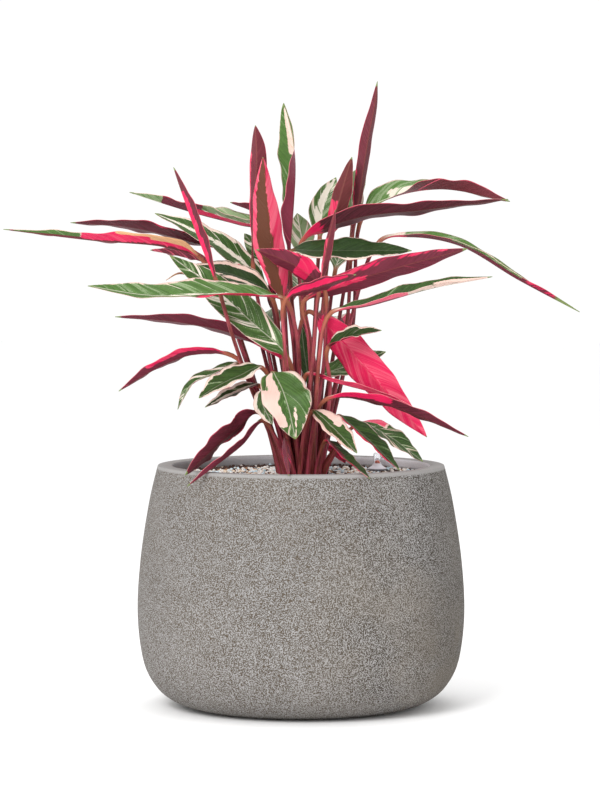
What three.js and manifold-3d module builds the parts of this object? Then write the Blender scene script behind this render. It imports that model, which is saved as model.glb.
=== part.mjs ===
// Stromanthe 'Triostar' in a round, bellied planter, grown in granules with a water gauge.
// Millimetres, +Z up. The origin is the middle of the planter's flat foot; -Y is the front.

import * as THREE from 'three';
import { mergeVertices } from 'three/addons/utils/BufferGeometryUtils.js';
import Module from 'manifold-3d';

const wasm = await Module();
wasm.setup();

// ---- driving dimensions -------------------------------------------------------------------

const planterHeight = 310;
const planterWall = 19;
const planterFloor = 20;
const planterFacets = 36;
const floorRadius = 130;
const floorCorner = 8;
const footRadius = 138;
const mouthRadius = 165;
const lipRadius = 184;
const lipBevel = 1.5;
// outside of the planter from the foot to just under the lip: [radius, height]
const planterSide = [[165, 9], [187, 27], [203, 60], [210, 120], [206, 190], [195, 262]];

const soilLevel = 295;
const soilDepth = 42;
const soilRings = 10;
const granuleRelief = 1.6;
const seatGap = 0.3;

const gaugePlace = [100, 98];
const gaugeTubeRadius = 5;
const gaugeBoreRadius = 3.6;
const gaugeConeRadius = 14;
const gaugeLipRadius = 2;
const gaugeEndWall = 2;
const gaugeBottom = 32;
const gaugeTop = 318;
const gaugeConeHeight = 14.4;
const gaugeConeRim = 2;
const gaugeFacets = 16;
const floatRadius = 3;
const floatHeight = 40;
const floatRodRadius = 1;
const floatBeadHeight = 4;
const floatFacets = 12;

// how close the stalks stand across and from front to back, as a share of the roots given below
const rootSpread = [0.58, 0.74];
const stalkFootRadius = 3.3;
const stalkNeckRadius = 2.4;
const stalkDepth = 34;
const usualWidest = 0.44;
const stalkStations = [0, 0.35, 0.68, 0.92];
const bladeSteps = 10;
const bladeThickness = 1.1;
const ribDepth = 1.2;
const rippleCount = 3;
const rippleShare = 0.045;
const crownBlend = 0.14;

// ---- leaves -------------------------------------------------------------------------------
// root: where the stalk stands in the granules; stalk: points it passes on its way up;
// blade: its midrib from the base to the tip; face: the way the upper side looks;
// fold: how far each half is raised from flat, in degrees; tone: the colour it shows most;
// widest: how far along the blade is widest, from base 0 to tip 1.

const leaves = [
  { name: 'leaf_upright_01', tone: 'maroon', root: [33, 15], stalk: [[58, 14, 482]],
    blade: [[65, 14, 592], [74, 16, 656], [84, 18, 722], [94, 20, 772], [98, 20, 801]],
    width: 23, fold: 45, face: [-0.3, 1, 0], widest: 0.55 },
  { name: 'leaf_upright_02', tone: 'maroon', root: [-21, 4], stalk: [[-45, -12, 471]],
    blade: [[-61, -12, 563], [-60, -16, 631], [-55, -20, 700], [-58, -20, 744]],
    width: 29, fold: 38, face: [0.3, 1, 0.1], widest: 0.7 },
  { name: 'leaf_upright_03', tone: 'maroon', root: [-21, -7], stalk: [[-22, -50, 447]],
    blade: [[-23, -58, 519], [-39, -64, 599], [-45, -64, 656], [-48, -62, 703]],
    width: 46, fold: 30, face: [-0.35, 1, 0.1] },
  { name: 'leaf_upright_04', tone: 'green', root: [9, 4], stalk: [],
    blade: [[-15, -20, 576], [-16, -24, 650], [-14, -26, 714], [-22, -26, 772]],
    width: 44, fold: 40, face: [-0.8, 0.6, 0], tipFace: [-0.5, -1, 0], widest: 0.55 },
  { name: 'leaf_upright_05', tone: 'maroon', root: [21, 4], stalk: [],
    blade: [[38, -6, 601], [50, -7, 650], [65, -4, 704]],
    width: 28, fold: 30, face: [0.3, 1, 0.2] },
  { name: 'leaf_upright_06', tone: 'pink', root: [9, -40],
    stalk: [[10, -66, 397], [16, -80, 460], [21, -88, 524]],
    blade: [[26, -90, 549], [33, -92, 587], [43, -94, 637]],
    width: 17, fold: 50, face: [0.3, 1, 0] },
  { name: 'leaf_upright_07', tone: 'maroon', root: [-39, -18], stalk: [[-71, -48, 431], [-90, -76, 490]],
    blade: [[-106, -86, 546], [-133, -84, 622], [-160, -80, 690]],
    width: 22, fold: 45, face: [0.8, 0.8, 0.4], widest: 0.5 },
  { name: 'leaf_upright_08', tone: 'green', root: [15, 15], stalk: [],
    blade: [[24, 15, 601], [28, 20, 641], [45, 30, 678]],
    width: 34, fold: 15, face: [0, -1, 0.2] },
  { name: 'leaf_upright_09', tone: 'green', root: [33, 27], stalk: [],
    blade: [[67, 32, 621], [66, 36, 660], [84, 40, 695]],
    width: 32, fold: 15, face: [0, -1, 0.2] },
  { name: 'leaf_upright_10', tone: 'green', root: [3, 15], stalk: [],
    blade: [[4, 22, 580], [0, 26, 605], [-5, 30, 632]],
    width: 34, fold: 15, face: [0, -1, 0.3] },

  { name: 'leaf_left_01', tone: 'green', root: [-3, 37], stalk: [[-22, 42, 451]],
    blade: [[-34, 44, 608], [-79, 48, 624], [-137, 54, 638], [-222, 60, 659]],
    width: 44, fold: 35, face: [-0.1, -0.35, 1], tipFace: [0, 0.4, 0.9], widest: 0.3 },
  { name: 'leaf_left_02', tone: 'maroon', root: [9, 37], stalk: [],
    blade: [[-26, 60, 589], [-56, 64, 633], [-92, 70, 646]],
    width: 34, fold: 20, face: [0, 0.4, 1] },
  { name: 'leaf_left_03', tone: 'maroon', root: [-27, 15], stalk: [[-56, 8, 483]],
    blade: [[-89, 14, 578], [-142, 14, 598], [-219, 10, 616], [-295, 4, 620]],
    width: 36, fold: 12, face: [0, 0.45, 1] },
  { name: 'leaf_left_04', tone: 'pink', root: [-39, 13], stalk: [[-70, 0, 442], [-101, -10, 526]],
    blade: [[-127, -14, 574], [-167, -26, 592], [-268, -36, 601], [-377, -44, 612]],
    width: 38, fold: 20, face: [0, 0.4, 1], widest: 0.27 },
  { name: 'leaf_left_05', tone: 'maroon', root: [-50, 23], stalk: [[-81, 8, 483]],
    blade: [[-114, 4, 565], [-155, 6, 580], [-193, 4, 585]],
    width: 28, fold: 20, face: [0, 0.5, 1] },
  { name: 'leaf_left_06', tone: 'green', root: [-9, 15], stalk: [[-27, 4, 453]],
    blade: [[-45, 4, 538], [-93, -8, 586], [-142, -16, 614], [-186, -22, 632]],
    width: 40, fold: 15, face: [-0.3, -0.7, 1] },
  { name: 'leaf_left_07', tone: 'green', root: [-9, 4], stalk: [[-25, -10, 454]],
    blade: [[-39, -28, 528], [-80, -34, 554], [-145, -34, 565]],
    width: 38, fold: 15, face: [-0.2, -0.8, 1] },
  { name: 'leaf_left_08', tone: 'green', root: [-9, -29],
    stalk: [[-4, -26, 345], [-3, -62, 460], [-14, -80, 515]],
    blade: [[-21, -86, 525], [-95, -108, 536], [-188, -114, 533], [-266, -120, 542]],
    width: 46, fold: 25, face: [0, -0.35, 1], tipFace: [-0.1, -0.8, 1] },
  { name: 'leaf_left_09', tone: 'green', root: [-15, -18], stalk: [[-9, -18, 345]],
    blade: [[-15, -62, 446], [-65, -58, 498], [-115, -57, 542], [-166, -55, 579]],
    width: 44, fold: 15, face: [-0.5, -1, 0.8] },
  { name: 'leaf_left_10', tone: 'maroon', root: [-9, -7], stalk: [[-13, -24, 395]],
    blade: [[-13, -36, 437], [-81, -38, 480], [-154, -40, 496], [-236, -42, 501]],
    width: 34, fold: 15, face: [0, 0.55, 1] },
  { name: 'leaf_left_11', tone: 'maroon', root: [-27, 27], stalk: [],
    blade: [[-59, 28, 514], [-111, 28, 540], [-156, 26, 555], [-174, 26, 546]],
    width: 18, fold: 20, face: [0, 0, 1] },
  { name: 'leaf_left_12', tone: 'pink', root: [-45, -7], stalk: [[-75, -39, 441]],
    blade: [[-93, -42, 454], [-141, -44, 455], [-191, -50, 434], [-231, -54, 407]],
    width: 26, fold: 20, face: [0, 0.6, 1] },
  { name: 'leaf_left_13', tone: 'green', root: [-39, 2], stalk: [],
    blade: [[-78, -24, 440], [-109, -28, 431], [-141, -34, 415], [-157, -36, 383]],
    width: 22, fold: 20, face: [-0.5, -0.5, 1] },
  { name: 'leaf_left_14', tone: 'green', root: [-21, -29], stalk: [],
    blade: [[-49, -62, 437], [-79, -80, 430], [-104, -92, 418], [-128, -102, 401]],
    width: 46, fold: 15, face: [-0.3, -0.6, 1] },
  { name: 'leaf_left_15', tone: 'green', root: [-27, -18], stalk: [],
    blade: [[-53, -54, 414], [-83, -68, 408], [-121, -76, 388]],
    width: 28, fold: 20, face: [-0.3, -0.5, 1] },
  { name: 'leaf_left_16', tone: 'maroon', root: [-33, -29], stalk: [],
    blade: [[-54, -62, 381], [-83, -88, 363], [-113, -120, 338], [-144, -150, 308]],
    width: 40, fold: 12, face: [0.2, 0.9, 0.8] },
  { name: 'leaf_left_17', tone: 'maroon', root: [-27, -51], stalk: [],
    blade: [[-48, -76, 371], [-76, -108, 345], [-110, -140, 319], [-141, -162, 295]],
    width: 20, fold: 30, face: [0.2, 0.6, 0.8] },
  { name: 'leaf_left_18', tone: 'green', root: [-27, -40], stalk: [],
    blade: [[-47, -72, 410], [-49, -82, 395], [-36, -90, 367]],
    width: 24, fold: 15, face: [-0.3, -1, 0.4] },

  { name: 'leaf_front_01', tone: 'green', root: [-15, -40], stalk: [],
    blade: [[-36, -78, 431], [-25, -102, 418], [-15, -120, 390], [-7, -128, 351]],
    width: 64, fold: 12, face: [0.15, -0.8, 0.6] },
  { name: 'leaf_front_02', tone: 'green', root: [-3, -51], stalk: [],
    blade: [[14, -84, 383], [39, -102, 367], [70, -118, 333]],
    width: 36, fold: 15, face: [0.3, -0.7, 0.8] },
  { name: 'leaf_front_03', tone: 'maroon', root: [-15, -51], stalk: [],
    blade: [[-20, -84, 347], [-17, -145, 329], [-15, -192, 310]],
    width: 14, fold: 45, face: [0, -0.4, -1] },
  { name: 'leaf_front_04', tone: 'maroon', root: [33, -51], stalk: [],
    blade: [[31, -72, 345], [55, -125, 329], [85, -184, 306]],
    width: 22, fold: 25, face: [0.4, -0.4, 1] },
  { name: 'leaf_front_05', tone: 'maroon', root: [15, -29], stalk: [[29, -56, 444], [31, -72, 498]],
    blade: [[30, -82, 534], [5, -82, 561], [-29, -86, 578], [-56, -92, 587]],
    width: 32, fold: 15, face: [0, 0.9, 0.6] },

  { name: 'leaf_right_01', tone: 'green', root: [45, 19], stalk: [[66, 24, 482]],
    blade: [[80, 34, 630], [117, 36, 658], [179, 36, 669], [269, 30, 647]],
    width: 48, fold: 30, face: [-0.2, -1, 1], tipFace: [0, 0.9, 0.8], widest: 0.36 },
  { name: 'leaf_right_02', tone: 'maroon', root: [28, -7], stalk: [[19, -10, 420]],
    blade: [[0, -26, 594], [37, -26, 618], [81, -26, 631], [152, -24, 638], [264, -18, 650]],
    width: 39, fold: 12, face: [0, 0.6, 1], widest: 0.28 },
  { name: 'leaf_right_03', tone: 'green', root: [45, 5], stalk: [[64, -2, 496]],
    blade: [[101, -4, 597], [139, -6, 605], [203, -12, 595], [279, -24, 550], [354, -36, 507]],
    width: 24, fold: 35, face: [0, -0.45, 1], tipFace: [0, 0.3, 1] },
  { name: 'leaf_right_04', tone: 'green', root: [3, -7], stalk: [[-9, -22, 458]],
    blade: [[-16, -46, 581], [24, -50, 586], [87, -54, 586], [140, -56, 585]],
    width: 44, fold: 10, face: [0, -0.75, 1] },
  { name: 'leaf_right_05', tone: 'maroon', root: [-3, -40], stalk: [[-21, -84, 473]],
    blade: [[-19, -98, 525], [21, -106, 541], [69, -108, 556]],
    width: 26, fold: 15, face: [0, 0.8, 1] },
  { name: 'leaf_right_06', tone: 'maroon', root: [9, -18], stalk: [[12, -41, 429], [9, -64, 480]],
    blade: [[3, -68, 520], [49, -68, 542], [125, -70, 566], [210, -72, 588]],
    width: 35, fold: 10, face: [0, 1, 0.6] },
  { name: 'leaf_right_07', tone: 'green', root: [21, -40],
    stalk: [[19, -64, 397], [24, -82, 460], [29, -90, 492]],
    blade: [[38, -92, 508], [86, -94, 521], [162, -94, 542], [240, -92, 553]],
    width: 30, fold: 35, face: [0, -0.3, 1] },
  { name: 'leaf_right_08', tone: 'pink', root: [-3, -18], stalk: [[-3, -36, 428], [-3, -48, 478]],
    blade: [[9, -55, 508], [56, -58, 466], [106, -66, 409], [159, -72, 350]],
    width: 48, fold: 10, face: [0.3, 1, 0.3] },
  { name: 'leaf_right_09', tone: 'green', root: [39, -33], stalk: [[37, -50, 408]],
    blade: [[34, -84, 464], [55, -94, 479], [101, -100, 486]],
    width: 32, fold: 25, face: [0.1, -0.5, 1] },
  { name: 'leaf_right_10', tone: 'green', root: [27, -18], stalk: [],
    blade: [[27, -30, 423], [56, -30, 438], [108, -28, 456]],
    width: 34, fold: 10, face: [0, -0.8, 0.8] },
  { name: 'leaf_right_11', tone: 'pink', root: [3, -29], stalk: [[4, -26, 340]],
    blade: [[7, -50, 428], [43, -72, 421], [105, -84, 404], [143, -88, 388]],
    width: 14, fold: 20, face: [0, 0.5, 1] },
  { name: 'leaf_right_12', tone: 'maroon', root: [15, -51], stalk: [[21, -72, 384]],
    blade: [[33, -84, 399], [61, -94, 403], [124, -110, 390], [209, -124, 354]],
    width: 28, fold: 15, face: [0, 0.6, 1] },
  { name: 'leaf_right_13', tone: 'green', root: [51, -27], stalk: [[50, -38, 345]],
    blade: [[47, -50, 375], [81, -68, 354], [124, -86, 309]],
    width: 32, fold: 25, face: [0.3, -0.5, 0.9] },
  { name: 'leaf_right_14', tone: 'green', root: [45, -16], stalk: [],
    blade: [[74, -24, 364], [110, -36, 352], [155, -44, 317]],
    width: 34, fold: 15, face: [0.2, -0.6, 0.9] },

  { name: 'leaf_centre_01', tone: 'green', root: [15, -7], stalk: [],
    blade: [[10, -26, 412], [4, -28, 458], [0, -30, 493]],
    width: 17, fold: 15, face: [0.3, -1, 0] },
  { name: 'leaf_back_01', tone: 'maroon', root: [39, 48], stalk: [],
    blade: [[30, 60, 330], [46, 80, 321], [58, 104, 304]],
    width: 22, fold: 20, face: [0, 0.3, 1] },
  { name: 'leaf_back_02', tone: 'green', root: [-15, 37], stalk: [],
    blade: [[-45, 30, 562], [-58, 32, 585], [-73, 34, 606]],
    width: 26, fold: 15, face: [-0.3, -0.8, 0.6] },
  { name: 'leaf_back_03', tone: 'green', root: [-9, 26], stalk: [[-17, 18, 444]],
    blade: [[-27, 12, 549], [-36, 16, 538], [-39, 18, 510]],
    width: 15, fold: 15, face: [0, 0.4, 1] },
  { name: 'leaf_back_04', tone: 'green', root: [9, 48], stalk: [],
    blade: [[0, 68, 520], [-7, 130, 555], [-15, 222, 510]],
    width: 46, fold: 15, face: [0, -0.4, 1] },
  { name: 'leaf_back_05', tone: 'green', root: [21, 37], stalk: [],
    blade: [[27, 62, 475], [45, 130, 498], [66, 225, 445]],
    width: 44, fold: 15, face: [0, -0.4, 1] },
  { name: 'leaf_back_06', tone: 'green', root: [33, 38], stalk: [],
    blade: [[44, 56, 556], [58, 110, 590], [68, 195, 567]],
    width: 42, fold: 15, face: [0, -0.4, 1] },
  { name: 'leaf_back_07', tone: 'green', root: [-15, 48], stalk: [],
    blade: [[-31, 68, 480], [-51, 120, 502], [-73, 188, 470]],
    width: 42, fold: 15, face: [0, -0.4, 1] },
];

// ---- materials ----------------------------------------------------------------------------

function finish(color, roughness) {
  return new THREE.MeshStandardMaterial({ color, roughness, metalness: 0 });
}

const materials = {
  planter: finish('#8b8780', 0.95),
  substrate: finish('#6b5a4c', 1),
  granules: finish('#d9cfc0', 0.9),
  gaugeClear: finish('#dfe6ea', 0.1),
  gaugeRed: finish('#c8321e', 0.4),
  green: finish('#3d6b35', 0.45),
  maroon: finish('#6a2334', 0.5),
  pink: finish('#d6275a', 0.5),
};

// ---- solids -------------------------------------------------------------------------------

function toManifold(geometry) {
  const bare = geometry.clone();
  bare.deleteAttribute('normal');
  bare.deleteAttribute('uv');
  const merged = mergeVertices(bare, 1e-4);
  return new wasm.Manifold(new wasm.Mesh({
    numProp: 3,
    vertProperties: new Float32Array(merged.attributes.position.array),
    triVerts: new Uint32Array(merged.index.array),
  }));
}

function toGeometry(solid) {
  const mesh = solid.getMesh();
  const geometry = new THREE.BufferGeometry();
  geometry.setAttribute('position', new THREE.BufferAttribute(mesh.vertProperties, 3));
  geometry.setIndex(new THREE.BufferAttribute(mesh.triVerts, 1));
  return geometry;
}

// a closed skin over rings of points that all have the same count; ring 0 and the last are capped
function skin(rings, mirrored) {
  const count = rings[0].length;
  const index = [];
  const at = (ring, k) => ring * count + (k % count);
  for (let ring = 0; ring + 1 < rings.length; ring += 1) {
    for (let k = 0; k < count; k += 1) {
      const [a, b] = [at(ring, k), at(ring, k + 1)];
      const [c, d] = [at(ring + 1, k + 1), at(ring + 1, k)];
      if (mirrored(k)) {
        index.push(a, b, d, b, c, d);
      } else {
        index.push(a, b, c, a, c, d);
      }
    }
  }
  const last = rings.length - 1;
  for (let k = 1; k + 1 < count; k += 1) {
    index.push(at(0, 0), at(0, k + 1), at(0, k));
    index.push(at(last, 0), at(last, k), at(last, k + 1));
  }
  const geometry = new THREE.BufferGeometry();
  geometry.setAttribute('position', new THREE.Float32BufferAttribute(
    rings.flat().flatMap((point) => point.toArray()), 3));
  geometry.setIndex(index);
  return geometry;
}

function lathe(profile, facets) {
  const points = profile.map(([radius, height]) => new THREE.Vector2(radius, height));
  return new THREE.LatheGeometry(points, facets).rotateX(Math.PI / 2);
}

// seeded random numbers from 0 to 1
function randomSource(seed) {
  let state = seed;
  return () => {
    state = (state * 16807) % 2147483647;
    return state / 2147483647;
  };
}

// ---- planter and what fills it ------------------------------------------------------------

const outerSide = new THREE.SplineCurve([
  [footRadius, 0],
  ...planterSide,
  [lipRadius + 0.5, planterHeight - lipBevel * 2],
].map(([radius, height]) => new THREE.Vector2(radius, height)));

// inner wall from the mouth down to the floor: [radius, height]
const innerSide = [
  [mouthRadius, planterHeight],
  ...planterSide.slice(1).reverse().map(([radius, height]) => [
    radius - planterWall,
    Math.max(height, planterFloor + floorCorner),
  ]),
  [floorRadius, planterFloor],
];

function innerRadius(height) {
  for (let k = 0; k + 1 < innerSide.length; k += 1) {
    const [upper, lower] = [innerSide[k], innerSide[k + 1]];
    if (height <= upper[1] && height >= lower[1]) {
      const share = (upper[1] - height) / (upper[1] - lower[1]);
      return upper[0] + (lower[0] - upper[0]) * share;
    }
  }
  return 0;
}

function planterGeometry() {
  const outer = outerSide.getPoints(12).map((point) => [point.x, point.y]);
  return lathe([
    [0, 0],
    ...outer,
    [lipRadius - lipBevel, planterHeight],
    ...innerSide,
    [0, planterFloor],
  ], planterFacets);
}

const layerBottom = soilLevel - soilDepth;

function substrateGeometry() {
  const top = layerBottom - seatGap;
  const below = innerSide.filter(([, height]) => height < top);
  const wall = below.map(([radius, height]) => [
    radius - seatGap,
    Math.max(height, planterFloor + seatGap),
  ]);
  const fill = lathe([
    [0, planterFloor + seatGap],
    ...wall.reverse(),
    [innerRadius(top) - seatGap, top],
    [0, top],
  ], planterFacets);
  return toGeometry(toManifold(fill).subtract(toManifold(gaugeHole())));
}

function gaugeHole() {
  const radius = gaugeTubeRadius + seatGap;
  return lathe([
    [0, gaugeBottom - seatGap],
    [radius, gaugeBottom - seatGap],
    [radius, planterHeight],
    [0, planterHeight],
  ], gaugeFacets).translate(gaugePlace[0], gaugePlace[1], 0);
}

// where a leaf's stalk stands
function rootPlace(leaf) {
  return leaf.root.map((value, k) => value * rootSpread[k]);
}

// hexagonal hole that a stalk stands in
function stalkHole([x, y]) {
  const radius = (stalkFootRadius + seatGap) / Math.cos(Math.PI / 6);
  const bottom = soilLevel - stalkDepth - seatGap;
  return lathe([[0, bottom], [radius, bottom], [radius, planterHeight], [0, planterHeight]], 6)
    .translate(x, y, 0);
}

// the top layer: its upper face is a pebbly relief, each stalk and the gauge has its own hole
function granuleGeometry() {
  const random = randomSource(11);
  const edge = innerRadius(soilLevel) - seatGap;
  const rings = [];
  for (let ring = soilRings; ring > 0; ring -= 1) {
    const radius = edge * (ring / soilRings) ** 0.8;
    rings.push(Array.from({ length: planterFacets }, (_, k) => {
      const angle = (k / planterFacets) * Math.PI * 2 + (ring < soilRings ? random() * 0.08 : 0);
      const height = soilLevel + (ring < soilRings ? (random() - 0.5) * 2 * granuleRelief : 0);
      return new THREE.Vector3(radius * Math.sin(angle), -radius * Math.cos(angle), height);
    }));
  }
  const floor = Array.from({ length: planterFacets }, (_, k) => {
    const angle = (k / planterFacets) * Math.PI * 2;
    const radius = innerRadius(layerBottom) - seatGap;
    return new THREE.Vector3(radius * Math.sin(angle), -radius * Math.cos(angle), layerBottom);
  });
  let layer = toManifold(skin([floor, ...rings], () => false));
  for (const leaf of leaves) {
    layer = layer.subtract(toManifold(stalkHole(rootPlace(leaf))));
  }
  return toGeometry(layer.subtract(toManifold(gaugeHole())));
}

// ---- water gauge --------------------------------------------------------------------------

const coneFoot = soilLevel + granuleRelief + 1;

// clear tube, closed on top, with a hole in its foot and the cone that sits on the granules
function gaugeTubeGeometry() {
  return lathe([
    [gaugeLipRadius, gaugeBottom],
    [gaugeTubeRadius, gaugeBottom],
    [gaugeTubeRadius, coneFoot],
    [gaugeConeRadius, coneFoot],
    [gaugeConeRadius, coneFoot + gaugeConeRim],
    [gaugeTubeRadius, coneFoot + gaugeConeHeight],
    [gaugeTubeRadius, gaugeTop],
    [0, gaugeTop],
    [0, gaugeTop - gaugeEndWall],
    [gaugeBoreRadius, gaugeTop - gaugeEndWall],
    [gaugeBoreRadius, gaugeBottom + gaugeEndWall],
    [gaugeLipRadius, gaugeBottom + gaugeEndWall],
    [gaugeLipRadius, gaugeBottom],
  ], gaugeFacets);
}

// float at the bottom, thin rod and red bead that shows the level through the cone
function gaugeFloatGeometry() {
  const bottom = gaugeBottom + gaugeEndWall + seatGap;
  const rodFoot = bottom + floatHeight + floatRadius;
  const beadTop = coneFoot + gaugeConeHeight;
  return lathe([
    [0, bottom],
    [floatRadius, bottom],
    [floatRadius, bottom + floatHeight],
    [floatRodRadius, rodFoot],
    [floatRodRadius, beadTop - floatBeadHeight * 2],
    [floatRadius, beadTop - floatBeadHeight * 1.5],
    [floatRadius, beadTop - floatBeadHeight * 0.5],
    [0, beadTop],
  ], floatFacets);
}

// ---- leaf ---------------------------------------------------------------------------------

// outline of the blade: half width as a share of the full width, from base 0 to tip 1
function bladeShape(along, widest) {
  return 0.5 * Math.sin(Math.PI * along ** (Math.log(0.5) / Math.log(widest))) ** 0.8;
}

function stalkRadius(share) {
  const slimmed = THREE.MathUtils.smoothstep(share, 0, 0.7);
  return THREE.MathUtils.lerp(stalkFootRadius, stalkNeckRadius, slimmed);
}

// the six points of one ring, as [across, up]: three of the upper side, then three of the lower
function stalkRing(radius) {
  const [side, half] = [radius * Math.cos(Math.PI / 6), radius / 2];
  return [[-side, half], [0, radius], [side, half], [side, -half], [0, -radius], [-side, -half]];
}

function bladeRing(leaf, along, phase) {
  const fold = THREE.MathUtils.degToRad(leaf.fold);
  const reach = Math.max(leaf.width * bladeShape(along, leaf.widest ?? usualWidest), 0.5);
  const half = bladeThickness / 2 / Math.cos(fold);
  const ripple = (turn) => rippleShare * leaf.width * Math.sin(Math.PI * along)
    * Math.sin(Math.PI * 2 * rippleCount * along + phase + turn);
  const side = reach * Math.cos(fold);
  const rise = (reach / 2) * Math.sin(fold);
  const [left, right] = [rise + ripple(0), rise + ripple(2)];
  const rib = ribDepth * (1 - along);
  return [[-side, left + half], [0, half - rise], [side, right + half],
    [side, right - half], [0, -half - rise - rib], [-side, left - half]];
}

function leafGeometry(leaf, order) {
  const [x, y] = rootPlace(leaf);
  const points = [
    [x, y, soilLevel - stalkDepth],
    [x, y, soilLevel + 4],
    ...leaf.stalk,
    ...leaf.blade,
  ].map((point) => new THREE.Vector3(...point));
  const path = new THREE.CatmullRomCurve3(points, false, 'centripetal');
  const fine = 100 * (points.length - 1);
  const lengths = path.getLengths(fine);
  const ground = lengths[100] / lengths[fine];
  const crown = lengths[100 * (2 + leaf.stalk.length)] / lengths[fine];

  const stations = [{ at: 0, stalk: 0, along: 0 }];
  for (const share of stalkStations) {
    stations.push({ at: THREE.MathUtils.lerp(ground, crown, share), stalk: share, along: 0 });
  }
  for (let step = 0; step <= bladeSteps; step += 1) {
    const along = step / bladeSteps;
    stations.push({ at: crown + (1 - crown) * along, stalk: 1, along });
  }

  const face = new THREE.Vector3(...leaf.face).normalize();
  const tipFace = new THREE.Vector3(...(leaf.tipFace ?? leaf.face)).normalize();
  let up = face;
  for (const station of [...stations].reverse()) {
    const tangent = path.getTangentAt(station.at);
    const wanted = station.stalk < 1 ? up : face.clone().lerp(tipFace, station.along);
    up = wanted.clone().addScaledVector(tangent, -wanted.dot(tangent)).normalize();
    station.place = path.getPointAt(station.at);
    station.up = up;
    station.across = new THREE.Vector3().crossVectors(tangent, up);
  }

  const rings = stations.map((station) => {
    const stalk = stalkRing(stalkRadius(station.stalk));
    const blade = bladeRing(leaf, station.along, order * 2.4);
    const share = THREE.MathUtils.smoothstep(station.along, 0, crownBlend);
    return stalk.map(([across, rise], k) => station.place.clone()
      .addScaledVector(station.across, THREE.MathUtils.lerp(across, blade[k][0], share))
      .addScaledVector(station.up, THREE.MathUtils.lerp(rise, blade[k][1], share)));
  });
  return skin(rings, (k) => k < 2);
}

// ---- the object ---------------------------------------------------------------------------

const plant = new THREE.Group();

function addPiece(name, geometry, material) {
  const mesh = new THREE.Mesh(geometry, material);
  mesh.name = name;
  plant.add(mesh);
  return mesh;
}

addPiece('planter', planterGeometry(), materials.planter);
addPiece('substrate', substrateGeometry(), materials.substrate);
addPiece('granules', granuleGeometry(), materials.granules);
addPiece('gauge_tube', gaugeTubeGeometry(), materials.gaugeClear)
  .position.set(gaugePlace[0], gaugePlace[1], 0);
addPiece('gauge_float', gaugeFloatGeometry(), materials.gaugeRed)
  .position.set(gaugePlace[0], gaugePlace[1], 0);
leaves.forEach((leaf, order) => {
  addPiece(leaf.name, leafGeometry(leaf, order), materials[leaf.tone]);
});

export default plant;
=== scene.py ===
"""A potted prayer plant: variegated leaves, granules, a water gauge and a stone-look planter.

Lengths are metres, except in the leaf list and where a comment says millimetres.
"""

import bisect
import math
import random
from typing import NamedTuple

import bmesh
import bpy
from bpy.props import FloatProperty, FloatVectorProperty, IntProperty, PointerProperty
from mathutils import Matrix, Vector, noise


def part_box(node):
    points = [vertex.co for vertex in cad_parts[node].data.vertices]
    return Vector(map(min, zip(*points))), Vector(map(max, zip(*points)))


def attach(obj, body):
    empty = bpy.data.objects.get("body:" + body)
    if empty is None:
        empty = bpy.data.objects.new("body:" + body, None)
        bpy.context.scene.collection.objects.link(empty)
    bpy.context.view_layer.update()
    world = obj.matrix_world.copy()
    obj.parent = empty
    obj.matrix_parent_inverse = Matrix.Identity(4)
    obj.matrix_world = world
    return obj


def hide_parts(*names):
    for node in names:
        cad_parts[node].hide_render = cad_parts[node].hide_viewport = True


bl_info = {
    "name": "Potted prayer plant",
    "version": (1, 0, 0),
    "blender": (4, 5, 0),
    "location": "View3D > Sidebar > Plant",
    "description": "Builds a variegated prayer plant in a round planter",
    "category": "Add Mesh",
}

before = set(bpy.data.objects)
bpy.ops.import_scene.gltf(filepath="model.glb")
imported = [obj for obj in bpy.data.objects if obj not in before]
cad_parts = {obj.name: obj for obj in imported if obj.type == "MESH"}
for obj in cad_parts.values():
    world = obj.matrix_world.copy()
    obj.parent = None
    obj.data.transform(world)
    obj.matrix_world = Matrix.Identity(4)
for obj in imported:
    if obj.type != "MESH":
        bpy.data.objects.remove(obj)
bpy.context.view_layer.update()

MM = 0.001
CM = 0.01
GAUGE_LOW, GAUGE_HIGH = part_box("gauge_tube")
GAUGE_MIDDLE = ((GAUGE_LOW[0] + GAUGE_HIGH[0]) / 2, (GAUGE_LOW[1] + GAUGE_HIGH[1]) / 2)
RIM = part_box("planter")[1][2]

# outside of the planter, from the foot to just under the lip: (radius, height) in millimetres
PLANTER_SIDE = (
    (138, 0), (165, 9), (187, 27), (203, 60), (210, 120), (206, 190), (195, 262), (184.5, 307))
# inside of the planter, from just under the mouth to the foot of the wall, and then its floor
PLANTER_INSIDE = ((165, 305), (176, 262), (187, 190), (191, 120), (184, 60))
PLANTER_FLOOR = ((168, 28), (130, 20), (0, 20))
# radius of the mouth and the bevel round it, and radius of the lip, in millimetres
MOUTH = 165
MOUTH_BEVEL = 1.0
LIP_EDGE = 184
# how far down the outside the smooth lip reaches, and where the colour of the inner wall lies: within
# this radius, from this height up and no nearer than this to the rim
LIP_BAND = 0.005
INNER_RADIUS = 0.1665
INNER_FROM = 0.2
INNER_BELOW_RIM = 0.0005

# the dark bed under the granules, its near-black colour partly painted shade, in millimetres: up its
# outside, and in over its top, which is measured from the level
BED_SIDE = (
    (0, 20.3), (129.5, 20.3), (166, 28.5), (183.5, 60), (190.5, 120), (186.5, 190), (176.5, 252))
BED_TOP = ((173.5, -3.5), (120, -3), (60, -3), (0, -3))
BED_FACETS = 96
# the level of the granules in millimetres
SOIL_LEVEL = 295
# the seed of the granules' places, colours and shapes
GRANULE_SEED = 21
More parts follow.
